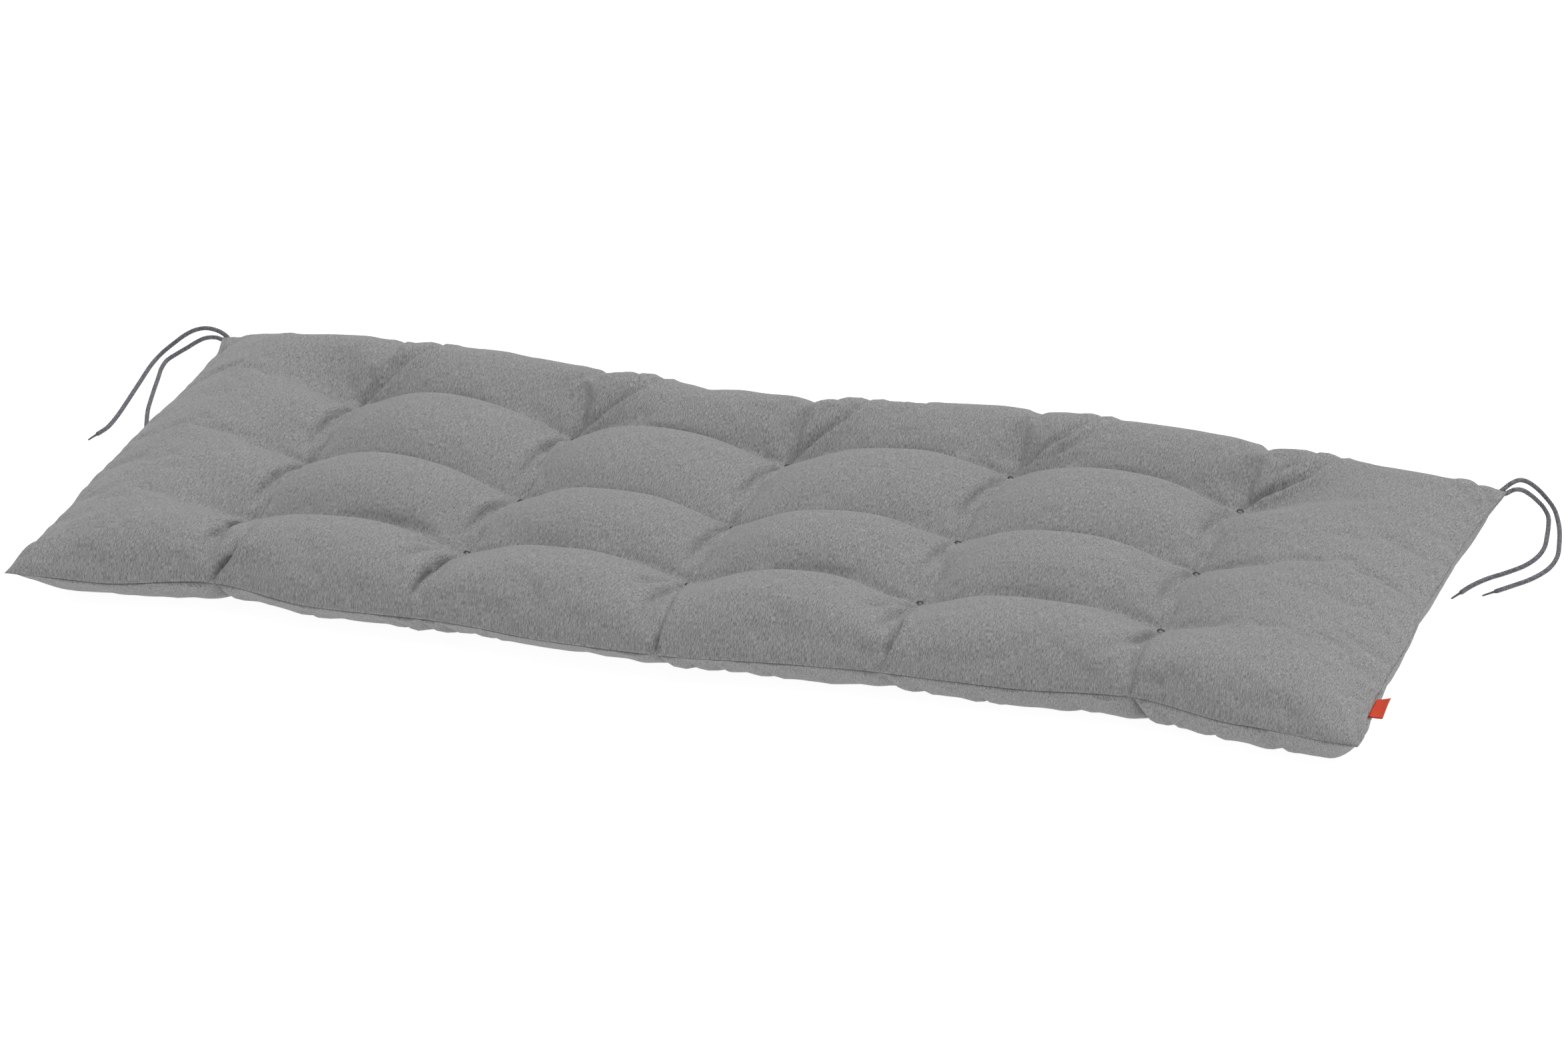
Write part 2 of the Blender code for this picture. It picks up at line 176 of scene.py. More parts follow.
TACK_FOLD_GENTLE = 2.8
TACK_FOLD_HAND = (1.6, 1.4, 1.1, 1, 0.6)  # how strongly each column is folded
HAND_LEAST = 0.9  # and each tack, from this up
HAND_SPREAD = 0.2
LEAN_OVER = 0.45  # share by which a lobe's edge is drawn over the fold on its -X side
LEAN_WIDTH = 15 * MM
LEAN_PLACE = -46 * MM  # seen from the tack
LEAN_LENGTH = 38 * MM
FOLD_CLOSE = 0.8  # share by which the lips of a deep fold are drawn together
FOLD_CLOSE_REACH = 2
FOLD_FULL_MM = 5
FOLD_TURN = 4 * MM  # over which a fold turns from its steep to its gentle side
FOLD_RIM = 0.42  # the cloth rises beside a fold: share of the depth
FOLD_RIM_PLACE = 2.6  # in half widths
FOLD_RIM_WIDTH = 1.5
UNEVEN = 1.3 * MM  # hand of the filling
UNEVEN_PITCH = 62 * MM
FINE_UNEVEN = 0.35 * MM
FINE_UNEVEN_PITCH = 21 * MM
SEEDS = {"uneven": 11, "wrinkle": 40, "fold": 77, "seam": 91, "thread": 5}

# Folds of the upper panel, in millimetres on the even cover: half width on the +X side and on
# the -X side, then (x, y, depth) of each point
FOLDS_MM = (
    # drawn in between the front tacks and the seam, walked towards the back
    (2.4, 4, ((-393, -244, 6), (-391, -241, 7), (-380, -229, 7.5), (-372, -202, 4.5), (-380, -160, 1.5),
        (-392, -136, 0))),
    (3.5, 3.5, ((-424, -189, 0), (-409, -160, 3.6), (-398, -135, 2))),
    (3.5, 3.5, ((-405, -203, 0), (-398, -180, 3.6), (-396, -140, 2))),
    (1.8, 4.5, ((-210, -244, 1.5), (-211, -236, 3), (-207, -212, 6.5), (-202, -190, 6), (-200, -160, 4.5),
        (-199, -136, 2.5))),
    (3.2, 3.2, ((-242, -217, 0), (-229, -190, 3.8), (-219, -158, 3.4), (-206, -130, 1.5))),
    (3.2, 3.2, ((-246, -176, 0), (-227, -150, 3.8), (-212, -130, 1.8))),
    (1.8, 3.6, ((11, -245, 4.5), (13, -233, 6.5), (13, -205, 6), (9, -170, 4), (3, -138, 2.5))),
    (3.5, 3.5, ((-40, -194, 0), (-23, -168, 3), (-14, -146, 2.8), (-4, -131, 1.2))),
    (2, 2.6, ((10, -245, 3), (8, -238, 3), (6, -222, 0))),
    (2, 4, ((201, -244, 1.5), (204, -238, 3.5), (206, -222, 5.5), (207, -200, 6), (204, -165, 4),
        (201, -138, 2.5))),
    (3.5, 3.5, ((164, -194, 0), (178, -174, 3), (188, -150, 2.8), (197, -131, 1.2))),
    (3, 4.5, ((404, -245, 3.5), (404, -232, 2.5), (402, -200, 1), (400, -150, 1))),
    (4, 4, ((367, -226, 0), (380, -205, 2.6), (392, -175, 2.8), (399, -135, 1.5))),
    # drawn in between the back tacks and the seam
    (3, 5, ((-398, 134, 2.6), (-384, 150, 5.2), (-369, 172, 5.9), (-352, 196, 5.2), (-348, 240, 2.6))),
    (2.5, 4, ((-392, 150, 0), (-386, 180, 2.6), (-392, 225, 3.2), (-394, 243, 2.6))),
    (2.5, 4.5, ((-196, 134, 2.6), (-180, 148, 5.2), (-157, 169, 6.5), (-147, 188, 5.2), (-138, 238, 3.2))),
    (2.5, 4, ((-186, 150, 0), (-171, 174, 4.5), (-166, 190, 3.9), (-160, 238, 3.2))),
    (2.5, 4.5, ((4, 134, 2.6), (14, 146, 5.2), (40, 170, 6.5), (50, 200, 4.5), (58, 238, 3.2))),
    (2.5, 4, ((10, 160, 0), (17, 182, 3.9), (23, 204, 3.2), (26, 240, 2.6))),
    (3, 5, ((77, 167, 0), (87, 179, 3.2), (97, 193, 2.6), (104, 225, 0))),
    (2.5, 4.5, ((206, 134, 2.6), (223, 155, 5.2), (240, 166, 6.5), (253, 188, 4.5), (262, 238, 3.2))),
    (2.5, 4, ((222, 140, 0), (246, 153, 3.9), (262, 168, 2.6), (280, 190, 0))),
    (2.5, 4.5, ((404, 134, 2.6), (417, 144, 5.2), (433, 150, 6.5), (452, 164, 5.2), (467, 204, 2.6),
        (474, 238, 2))),
    (2.5, 4, ((408, 148, 0), (422, 165, 3.9), (433, 176, 3.9), (444, 196, 2), (450, 236, 1.3))),
    # across the front right corner, and short ones at the two ends
    (2.5, 3, ((583, -203, 0), (589, -216, 2.5), (596, -236, 3))),
    (3, 4.5, ((580, 134, 0), (588, 124, 2.5), (596, 106, 2))),
    (3, 4.5, ((570, 240, 2), (586, 222, 3), (596, 206, 1.5))),
    (3, 3, ((-592, 236, 1.5), (-592, 216, 2.5), (-584, 176, 0))),
    (4, 4, ((560, -175, 0), (580, -168, 1.5), (596, -165, 2))),
)

# And of the lower panel, where the front creases pass under the seam
UNDER_FOLDS_MM = (
    (4, 9, ((-391, -245, 7), (-388, -225, 8), (-380, -190, 0))),
    (3, 5, ((-310, -245, 1), (-307, -218, 3.6), (-300, -175, 0))),
    (2.5, 4, ((-222, -245, 1), (-219, -218, 3.4), (-212, -175, 0))),
    (3, 6, ((-201, -245, 2), (-198, -225, 4), (-190, -185, 0))),
    (2.5, 4, ((-183, -245, 1), (-180, -218, 3.4), (-172, -175, 0))),
    (2.5, 4, ((-145, -245, 1), (-142, -218, 2.8), (-135, -180, 0))),
    (3.5, 7, ((11, -245, 4), (14, -225, 6), (22, -185, 0))),
    (2.5, 4, ((34, -245, 1), (36, -218, 3.2), (42, -175, 0))),
    (2.5, 4, ((56, -245, 1), (58, -218, 3.8), (64, -175, 0))),
    (2.5, 4, ((98, -245, 1), (101, -218, 2.8), (108, -180, 0))),
    (3, 6, ((203, -245, 2), (206, -225, 3.4), (214, -190, 0))),
    (2.5, 4, ((225, -245, 1), (228, -218, 3.2), (234, -175, 0))),
    (2.5, 4, ((277, -245, 1), (280, -218, 3.4), (287, -175, 0))),
    (2.5, 5, ((352, -245, 1), (355, -218, 3), (362, -180, 0))),
    (5, 7, ((405, -245, 4.5), (410, -225, 6.5), (420, -180, 0))),
    (3, 5, ((430, -245, 1), (433, -218, 3.4), (440, -175, 0))),
    (3, 5, ((468, -245, 1), (471, -218, 3), (478, -180, 0))),
    (3, 5, ((524, -245, 1), (527, -218, 2.6), (534, -180, 0))),
)

# The swelling of the cover
SWELL_COLUMNS = 141
SWELL_ROWS = 59
SWELL_HOLD = 6 * MM  # round each tack
SWELL_REST = 0.5 * MM  # the lower panel is held where it lies this low
SWELL_GROWTH = 0.012
SWELL_PRESSURE = 4
SWELL_FRAMES = 20
SWELL_LIMIT = 22 * MM
SWELL_UNDER_SHARE = 0.3  # the lower panel is weighed down

# Tie cords: the routes of the solids, in millimetres, from the ear to the sealed end
CORD_DIAMETER = 4 * MM
CORD_EXITS_MM = {"left": (-594.5, 248.5, 38), "right": (592.6, 230.4, 37)}
TIP_LENGTH = 13 * MM
TIP_RADII_MM = ((0, 1), (0.4, 1.1), (3, 0.98), (7, 0.9), (11, 0.82), (12.6, 0.65), (13, 0.3))
SEAT_GAP = 0.3 * MM
CORD_ROUTES_MM = {
    "tie_left_outer": (
        (-594.5, 250.9, 39.6), (-604, 254.5, 42), (-618, 260.5, 40.5), (-633, 267.5, 34),
        (-647, 273.5, 24.5), (-659, 276.5, 14.5), (-668, 272.5, 7), (-671.5, 260.5, 3.2),
        (-670.5, 243.5, 2.4), (-667, 220.5, 2.3), (-663, 194.5, 2.3), (-659, 168.5, 2.3),
        (-655, 140.5, 2.3), (-653, 114.5, 2.3), (-656, 96.5, 2.3),
    ),
    "tie_left_inner": (
        (-596.4, 248.1, 36.4), (-605, 250.5, 37), (-617, 255.5, 33), (-629, 261, 25.5),
        (-641, 265.5, 16.5), (-652, 266.5, 9), (-659.5, 259.5, 4.4), (-659, 245.5, 2.6),
        (-654, 227.5, 2.3), (-647.5, 204.5, 2.3), (-640.5, 180.5, 2.3), (-633, 156.5, 2.3),
        (-623.5, 132.5, 2.3), (-614, 109.5, 2.3), (-608, 88.5, 2.3),
    ),
    "tie_right_outer": (
        (592.6, 232.9, 39.4), (597, 240.5, 41.5), (602, 250.5, 40.5), (607, 261.5, 34),
        (613, 270.5, 24.5), (620, 275.5, 14), (627, 272.5, 6.8), (633, 260.5, 3.2),
        (639, 241.5, 2.4), (645, 214.5, 2.3), (649, 188.5, 2.3), (647, 164.5, 2.3),
        (638, 142.5, 2.3), (625, 124.5, 2.3), (614, 110.5, 2.3),
    ),
    "tie_right_inner": (
        (594.8, 230.1, 36.2), (600, 237.5, 37), (605, 247, 33), (609.5, 256, 25.5),
        (614, 263, 17.5), (619.5, 265, 10.5), (625, 259.5, 5.2), (628.5, 245.5, 2.8),
        (632, 224.5, 2.3), (634.5, 204.5, 2.3), (633, 184.5, 2.3), (626.5, 165.5, 2.3),
        (615, 148.5, 2.3), (602, 132.5, 2.3), (593, 116.5, 2.3), (587, 100.5, 2.3),
    ),
}
CORD_ROOT_MM = {  # where each one is sewn in, from between its exit and first point
    "tie_left_outer": (6, -4, -1), "tie_left_inner": (6, -4, 0),
    "tie_right_outer": (-4, -6, -1), "tie_right_inner": (-4, -6, 0),
}
BRAID_SIDES = 24
BRAID_STEP = 0.5 * MM
BRAID_STRANDS = 4  # raised crossings round the cord
BRAID_PITCH = 2.6 * MM  # and from one to the next along it
BRAID_RELIEF = 0.085  # share of the radius
BRAID_BODY = 0.96  # radius between the crossings and the gaps
BRAID_SOFTENING = 6  # rounds the small kinks of the line
SEAL_REACH = 1.4 * MM  # over which the braid narrows into its sealed end
SEAL_SHARE = 0.72
ROUTE_SAMPLES = 16  # from one point of a route to the next
TIP_RINGS = 40
TIP_SIDES = 16
TIP_RIPPLE = 0.05
TIP_RIPPLE_RATE = 2600
TIP_GRAIN = 4 * MM

# Thread of a tack
THREAD_RADIUS = 0.45 * MM
THREAD_SPAN = 8 * MM
THREAD_RISE = 4.4 * MM
THREAD_SINK = 0.4 * MM
THREAD_STAGGER = 0.3 * MM  # the outer strands rise less
THREAD_ARCH = 0.6
THREAD_APART = 1.9  # in radii at the two ends, and how much less on top
THREAD_CLOSER = 0.8
THREAD_WANDER = 0.2 * MM
THREAD_WANDERS = 9
THREAD_TURN = 0.5
THREAD_RINGS = 23
THREAD_SIDES = 8
THREAD_TWIST = 1.2 * MM

# Ribbon tab, folded over and sewn in at the right
TAB_WIDTH = 30 * MM
TAB_REACH = 10 * MM
TAB_CENTRE_Y = -180 * MM
TAB_LAYER = 0.45 * MM
TAB_HOLLOW = 0.25 * MM
TAB_ROOT = 1.5 * MM  # sewn in
TAB_OUT = 0.2 * MM
TAB_CURL = 1.6 * MM
TAB_CURL_TURNS = (3, 0.6)  # along the ribbon, and at its middle
TAB_LIFT = 1.2 * MM
TAB_ACROSS = 33
TAB_ALONG = 14
TAB_BEND = 9

# Light
SURROUND = 0.55
SURROUND_COLOUR = (0.985, 0.99, 1)
OVERHEAD = 2.42
OVERHEAD_COLOUR = (1, 0.99, 0.975)
OVERHEAD_SPREAD = math.radians(85)
OVERHEAD_FROM = (0.25, 0.22, 1)
FLOOR_HALF = 14
FLOOR_GAP = 0.2 * MM

# Colours, as linear red, green and blue, and finishes
FLOOR_FINISH = {  # a lit table, so it shows next to no shadow
    "Base Color": (0.35, 0.35, 0.35, 1), "Roughness": 0.9,
    "Emission Color": (1, 1, 1, 1), "Emission Strength": 0.88,
}
CLOTH_FINISH = {
    "Roughness": 0.92, "Sheen Weight": 0.12, "Sheen Roughness": 0.5, "Specular IOR Level": 0.25,
}
BRAID_FINISH = {"Roughness": 0.85, "Specular IOR Level": 0.3}
RIBBON_FINISH = {"Roughness": 0.55, "Specular IOR Level": 0.2}
THREAD_FINISH = {"Roughness": 0.6}
CLOTH_DARK_WARM = (0.11, 0.108, 0.104)
CLOTH_DARK_COOL = (0.103, 0.105, 0.112)
CLOTH_LIGHT_WARM = (0.324, 0.32, 0.311)
CLOTH_LIGHT_COOL = (0.309, 0.314, 0.328)
BRAID_DARK = (0.045, 0.046, 0.054)
BRAID_LIGHT = (0.19, 0.192, 0.212)
RIBBON_DARK = (0.38, 0.024, 0.008)
RIBBON_LIGHT = (0.6, 0.055, 0.014)
THREAD_DARK = (0.035, 0.035, 0.038)
THREAD_LIGHT = (0.1, 0.1, 0.105)
SEALED_DARK = (0.035, 0.036, 0.042)
SEALED_LIGHT = (0.075, 0.077, 0.088)

# Size of the cover's grid
OPEN_STEP_X = 4.9 * MM
OPEN_STEP_Y = 4.7 * MM
TACK_STEP = 1.9 * MM
SEAM_RINGS_MM = (0.012, 0.05, 0.14)
SEAM_STEP = 0.1  # in millimetres, and how it grows with the root of the distance
SEAM_STEP_FACTOR = 0.62
TACK_STEP_FACTOR = 0.09
GRADE_SAMPLES = 600


def smooth(t):
    """Ease from 0 to 1."""
    t = np.clip(t, 0, 1)
    return t * t * (3 - 2 * t)


def read_along(edge, column, x):
    """Ease through one column of an edge's table at the places x, in metres."""
    table = SEAM_MM[edge]
    places = np.array([row[0] for row in table]) * MM
    values = np.array([row[column] for row in table]) * MM
    i = np.clip(np.searchsorted(places, x) - 1, 0, len(places) - 2)
    t = smooth((x - places[i]) / (places[i + 1] - places[i]))
    return values[i] + (values[i + 1] - values[i]) * t


def blend_weights(x, stops):
    """Weight of each stop at x: 1 on the stop, easing to 0 on its neighbours."""
    weights = []
    for k, stop in enumerate(stops):
        low = smooth((x - stops[k - 1]) / (stop - stops[k - 1])) if k > 0 else np.ones_like(x)
        last = k == len(stops) - 1
        high = np.ones_like(x) if last else smooth((stops[k + 1] - x) / (stops[k + 1] - stop))
        weights.append(low * high)
    return weights


def sewn_offset(x, y):
    """How far the uneven tacks carry the cloth from the even grid."""
    across = blend_weights(x, COLUMN_X)
    along = blend_weights(y, ROW_Y)
    dx = 0
    dy = 0
    for j, offsets in enumerate(TACK_OFFSETS_MM):
        for i, (ox, oy) in enumerate(offsets):
            weight = across[i] * along[j]
            dx = dx + weight * ox * MM
            dy = dy + weight * oy * MM
    fade = smooth((LENGTH / 2 - np.abs(x)) / (LENGTH / 2 - COLUMN_X[-1]))
    return dx * fade, dy * fade


def plan(x, y):
    """Place of the cloth seen from above, for the even cover's point (x, y)."""
    across = x / (LENGTH / 2)
    along = y / (WIDTH / 2)
    dx, dy = sewn_offset(x, y)
    draw_front = read_along("front", 1, x) * np.clip(-along, 0, 1) ** SIDE_DRAW_POWER
    draw_back = read_along("back", 1, x) * np.clip(along, 0, 1) ** SIDE_DRAW_POWER
    draw_left = read_along("left", 1, y) * np.clip(-across, 0, 1) ** END_DRAW_POWER
    draw_right = read_along("right", 1, y) * np.clip(across, 0, 1) ** END_DRAW_POWER
    plan_x = x + dx + draw_left - draw_right + GRID_X
    plan_y = y + dy + draw_front - draw_back + GRID_Y
    return plan_x, plan_y


def seam_height(x, y):
    """Height of the seam that the panels leave, eased from edge to edge."""
    back = smooth(y / WIDTH + 0.5)
    sides = read_along("front", 2, x) * (1 - back) + read_along("back", 2, x) * back
    right = smooth(x / LENGTH + 0.5)
    ends = read_along("left", 2, y) * (1 - right) + read_along("right", 2, y) * right
    near_end = np.abs(x / (LENGTH / 2)) ** EAR_POWER
    near_side = np.abs(y / (WIDTH / 2)) ** EAR_POWER
    share = near_end * (1 - near_side)
    return sides * (1 - share) + ends * share


def edge_roll(x, y, side_roll, end_roll, side_roundness, end_roundness):
    """0 on the seam, 1 in the field: the swell of a panel away from its edge."""
    from_end = np.clip((LENGTH / 2 - np.abs(x)) / end_roll, 0, 1)
    from_side = np.clip((WIDTH / 2 - np.abs(y)) / side_roll, 0, 1)
    end = (1 - (1 - from_end) ** 2) ** end_roundness
    side = (1 - (1 - from_side) ** 2) ** side_roundness
    return end * side


def lobe_fill(x, y):
    """Share of the full swell that the lobe round (x, y) has."""
    across = [COLUMN_X[0] - COLUMN_PITCH / 2] + [c + COLUMN_PITCH / 2 for c in COLUMN_X]
    along = [ROW_Y[0] - ROW_PITCH / 2] + [r + ROW_PITCH / 2 for r in ROW_Y]
    fill = 0
    for shares, weight_y in zip(LOBE_FILL, blend_weights(y, along)):
        for share, weight_x in zip(shares, blend_weights(x, across)):
            fill = fill + share * weight_x * weight_y
    return fill


def off_column(x, column):
    """Distance from a column of tacks, counted short on the side where the lobe is fuller."""
    off = x - column
    lean = np.where(off < 0, LEAN_STEEP, LEAN_GENTLE)
    return np.maximum(np.abs(off) - TACK_SEAT, 0) / lean


def off_row(y, row):
    """Distance from a row of tacks."""
    return np.maximum(np.abs(y - row) - TACK_SEAT, 0)


def tack_pull(x, y):
    """1 at a tack, 0 far from all of them."""
    free = 1
    for _, _, column, row in TACKS:
        reach = np.hypot(off_column(x, column), off_row(y, row)) / DIP_REACH
        free = free * (1 - np.exp(-reach ** DIP_POWER))
    return 1 - free


def pinch(x, y):
    """The sharp end of every dip, 1 at a tack."""
    return sum(np.exp(-np.hypot(x - column, y - row) / PINCH_REACH)
               for _, _, column, row in TACKS)


def valleys(x, y):
    """Share of the swell that is left in the valleys between neighbouring tacks."""
    to_front = smooth((-y - ROW_Y[-1]) / (WIDTH / 2 - ROW_Y[-1]))
    to_back = smooth((y - ROW_Y[-1]) / BACK_FADE)
    depth = COLUMN_VALLEY * (1 - (1 - FRONT_VALLEY) * to_front - (1 - BACK_VALLEY) * to_back)
    crease = FRONT_CREASE * to_front + BACK_CREASE * to_back
    left = 1
    for column in COLUMN_X:
        off = off_column(x, column)
        left = left * (1 - depth * np.exp(-(off / COLUMN_VALLEY_WIDTH) ** COLUMN_VALLEY_POWER))
        left = left * (1 - crease * np.exp(-off / EDGE_CREASE_WIDTH))
    to_end = smooth((np.abs(x) - COLUMN_X[-1]) / END_FADE)
    depth = ROW_VALLEY * (1 - (1 - END_VALLEY) * to_end)
    for row in ROW_Y:
        width = np.where(y < row, ROW_VALLEY_WIDTH, ROW_VALLEY_OPEN) * (1 + END_WIDEN * to_end)
        left = left * (1 - depth * np.exp(-(off_row(y, row) / width) ** ROW_VALLEY_POWER))
    return left


def top_height(x, y):
    """Upper panel."""
    seam = seam_height(x, y)
    field = edge_roll(x, y, TOP_SIDE_ROLL, TOP_END_ROLL, SIDE_ROUNDNESS, END_ROUNDNESS)
    rise = TOP_RISE * lobe_fill(x, y) * field * valleys(x, y)
    pull = tack_pull(x, y)
    height = seam + rise * (1 - pull) + (TACK_TOP - seam) * pull * field
    return height - PINCH_DEPTH * pinch(x, y)


def under_height(x, y):
    """Lower panel, pressed flat where it meets the surface."""
    seam = seam_height(x, y)
    places = np.array([row[0] for row in UNDER_FRONT_MM]) * MM
    front_roll = np.interp(x, places, [row[1] * MM for row in UNDER_FRONT_MM])
    side_roll = np.where(y < 0, front_roll, UNDER_BACK_ROLL)
    end_roll = np.where(x < 0, UNDER_LEFT_ROLL, UNDER_RIGHT_ROLL)
    field = edge_roll(x, y, side_roll, end_roll, UNDER_ROUNDNESS, UNDER_ROUNDNESS)
    pull = tack_pull(x, y)
    drop = (seam + UNDER_SWELL) * field * (1 - pull) + (seam - TACK_UNDER) * pull * field
    return np.maximum(seam - drop, 0)


def summed(steps):
    """Running sum that starts at 0."""
    return np.concatenate(([0], np.cumsum(steps)))


def graded_stops(half_size, tacks, open_step):
    """Grid lines along one axis: crowded at the seams, a little closer at the tacks."""
    low_rings = [-half_size] + [r * MM - half_size for r in SEAM_RINGS_MM]
    anchors = low_rings + list(tacks) + [-p for p in low_rings[::-1]]
    stops = [anchors[0]]
    for low, high in zip(anchors, anchors[1:]):
        place = np.linspace(low, high, GRADE_SAMPLES)
        from_seam = (half_size - np.abs(place)) / MM
        from_tack = np.min([np.abs(place - t) for t in tacks], axis=0)
        step = np.minimum(open_step, (SEAM_STEP + SEAM_STEP_FACTOR * np.sqrt(from_seam)) * MM)
        step = np.minimum(step, TACK_STEP + TACK_STEP_FACTOR * from_tack)
        count = summed(0.5 * (1 / step[1:] + 1 / step[:-1]) * np.diff(place))
        cells = max(round(count[-1]), 1)
        stops.extend(np.interp(np.arange(1, cells + 1) * count[-1] / cells, count, place))
    return np.array(stops)


def lattice(i, j, seed):
    """A fixed number from 0 to 1 for each whole pair (i, j)."""
    h = (i.astype(np.int64) * 374761393 + j.astype(np.int64) * 668265263
         + seed * 974711) & 0xFFFFFFFF
    h = ((h ^ (h >> 13)) * 1274126177) & 0xFFFFFFFF
    return (h ^ (h >> 16)) / 0xFFFFFFFF


def noise(u, v, seed):
    """Smooth noise from -1 to 1, one bump for each unit."""
    i, j = np.floor(u), np.floor(v)
    s, t = smooth(u - i), smooth(v - j)
    low = lattice(i, j, seed) * (1 - s) + lattice(i + 1, j, seed) * s
    high = lattice(i, j + 1, seed) * (1 - s) + lattice(i + 1, j + 1, seed) * s
    return 2 * (low * (1 - t) + high * t) - 1


def normals(grid):
    """Upward normals of a panel's grid of points."""
    across = np.gradient(grid, axis=0)
    along = np.gradient(grid, axis=1)
    out = np.cross(across, along)
    size = np.linalg.norm(out, axis=2, keepdims=True)
    return out / np.maximum(size, 1e-12)


def fold(x, y, steep, gentle, route):
    """One fold: how far the cloth sinks along its route, and how its lips draw together."""
    nearest = np.ones_like(x)
    depth, off_x, off_y = 0, 0, 0
    for (ax, ay, da), (bx, by, db) in zip(route, route[1:]):
        ax, ay, bx, by = ax * MM, ay * MM, bx * MM, by * MM
        span = (bx - ax) ** 2 + (by - ay) ** 2
        t = np.clip(((x - ax) * (bx - ax) + (y - ay) * (by - ay)) / span, 0, 1)
        part_x, part_y = x - ax - t * (bx - ax), y - ay - t * (by - ay)
        off = np.hypot(part_x, part_y)
        closer = off < nearest
        nearest = np.where(closer, off, nearest)
        depth = np.where(closer, da + (db - da) * t, depth)
        off_x = np.where(closer, part_x, off_x)
        off_y = np.where(closer, part_y, off_y)
    ordered = sorted(route, key=lambda point: point[1])
    line = np.interp(y, [p[1] * MM for p in ordered], [p[0] * MM for p in ordered])
    width = (steep + (gentle - steep) * smooth(0.5 - (x - line) / FOLD_TURN)) * MM
    groove = np.exp(-nearest / width)
    rim = np.exp(-((nearest - FOLD_RIM_PLACE * width) / (FOLD_RIM_WIDTH * width)) ** 2)
    sink = depth * MM * (FOLD_RIM * rim - groove)
    share = FOLD_CLOSE * np.clip(depth / FOLD_FULL_MM, 0, 1)
    share = share * np.exp(-(nearest / (FOLD_CLOSE_REACH * width)) ** 2)
    return sink, share, off_x, off_y


def folds(x, y, table):
    """All the folds of a table: how far they sink, and the move of their lips along X and Y."""
    total, closest, move_x, move_y = 0, 0, 0, 0
    for steep, gentle, route in table:
        sink, share, off_x, off_y = fold(x, y, steep, gentle, route)
        total = total + sink
        stronger = share > closest
        closest = np.where(stronger, share, closest)
        move_x = np.where(stronger, -share * off_x, move_x)
        move_y = np.where(stronger, -share * off_y, move_y)
    return total, move_x, move_y


def tack_folds(x, y):
    """The fold that runs forwards and back from each tack, and the lobe that leans over it."""
    front_y, front_x, _ = np.array(TACK_FOLD_MM[0]).T * MM
    total, move_x = 0, 0
    for i, j, column, row in TACKS:
        spread = HAND_SPREAD * lattice(np.int64(i), np.int64(j), SEEDS["fold"])
        hand = TACK_FOLD_HAND[i] * (HAND_LEAST + spread)
        for part in TACK_FOLD_MM:
            route = [(column / MM + dx, row / MM + dy, depth * hand) for dy, dx, depth in part]
            sink = fold(x, y, TACK_FOLD_STEEP, TACK_FOLD_GENTLE, route)[0]
            total = np.where(np.abs(sink) > np.abs(total), sink, total)
        side = np.maximum(x - (column + np.interp(y - row, front_y, front_x)), 0)
        near = np.exp(-((y - row - LEAN_PLACE) / LEAN_LENGTH) ** 2)
        lean = LEAN_OVER * TACK_FOLD_HAND[i]
        move_x = move_x - lean * near * side * np.exp(-(side / LEAN_WIDTH) ** 2)
    return total, move_x


def tack_wrinkles(x, y):
    """Small folds that fan out from each tack."""
    total = 0
    for i, j, column, row in TACKS:
        off_x, off_y = x - column, y - row
        off = np.hypot(off_x, off_y)
        angle = np.arctan2(off_y, off_x) / (2 * math.pi) * TACK_WRINKLE_COUNT
        angle = np.mod(angle, TACK_WRINKLE_COUNT)
        wave = noise(angle, off / TACK_WRINKLE_LENGTH, SEEDS["wrinkle"] + 3 * i + 17 * j)
        fade = (off / TACK_WRINKLE_REACH) * np.exp(1 - off / TACK_WRINKLE_REACH)
        total = total + np.where(off < 5 * TACK_WRINKLE_REACH, wave * fade, 0)
    return TACK_WRINKLE * total


def gathers(x, y, height, pitch, reach, seed):
    """Puckers square to the seam, which die out away from it."""
    side = (x, WIDTH / 2 - np.abs(y), GATHER_SHIFTS[0] * np.sign(y))
    end = (y, LENGTH / 2 - np.abs(x), GATHER_SHIFTS[1] * np.sign(x))
    total = 0
    for along, off, shift in (side, end):
        wave = noise(along / pitch, off / (4 * pitch) + shift, seed)
        finer = noise(GATHER_FINER * along / pitch, off / (3 * pitch) + shift, seed + 1)
        total = total + (wave + 0.5 * finer) * np.exp(-off / reach)
        seed = seed + 2
    hand = np.abs(noise(x / (9 * pitch) + 3, y / (9 * pitch), seed))
    return height * (GATHER_LEAST + (1 - GATHER_LEAST) * hand) * total


def uneven(x, y):
    """Soft unevenness of the filling under the cloth."""
    broad = noise(x / UNEVEN_PITCH, y / UNEVEN_PITCH, SEEDS["uneven"])
    fine = noise(x / FINE_UNEVEN_PITCH, y / FINE_UNEVEN_PITCH, SEEDS["uneven"] + 1)
    return UNEVEN * broad + FINE_UNEVEN * fine


def away_from_seam(x, y, reach):
    """0 on the seam, rising to 1 over the reach."""
    off = np.minimum(WIDTH / 2 - np.abs(y), LENGTH / 2 - np.abs(x))
    return smooth(off / reach)


def seam_arc(grid, axis):
    """Length of cloth from every point to the nearer seam, along one axis of the grid."""
    steps = np.linalg.norm(np.diff(grid, axis=axis), axis=2)
    walked = np.insert(np.cumsum(steps, axis), 0, 0, axis)
    return np.minimum(walked, walked.max(axis, keepdims=True) - walked)


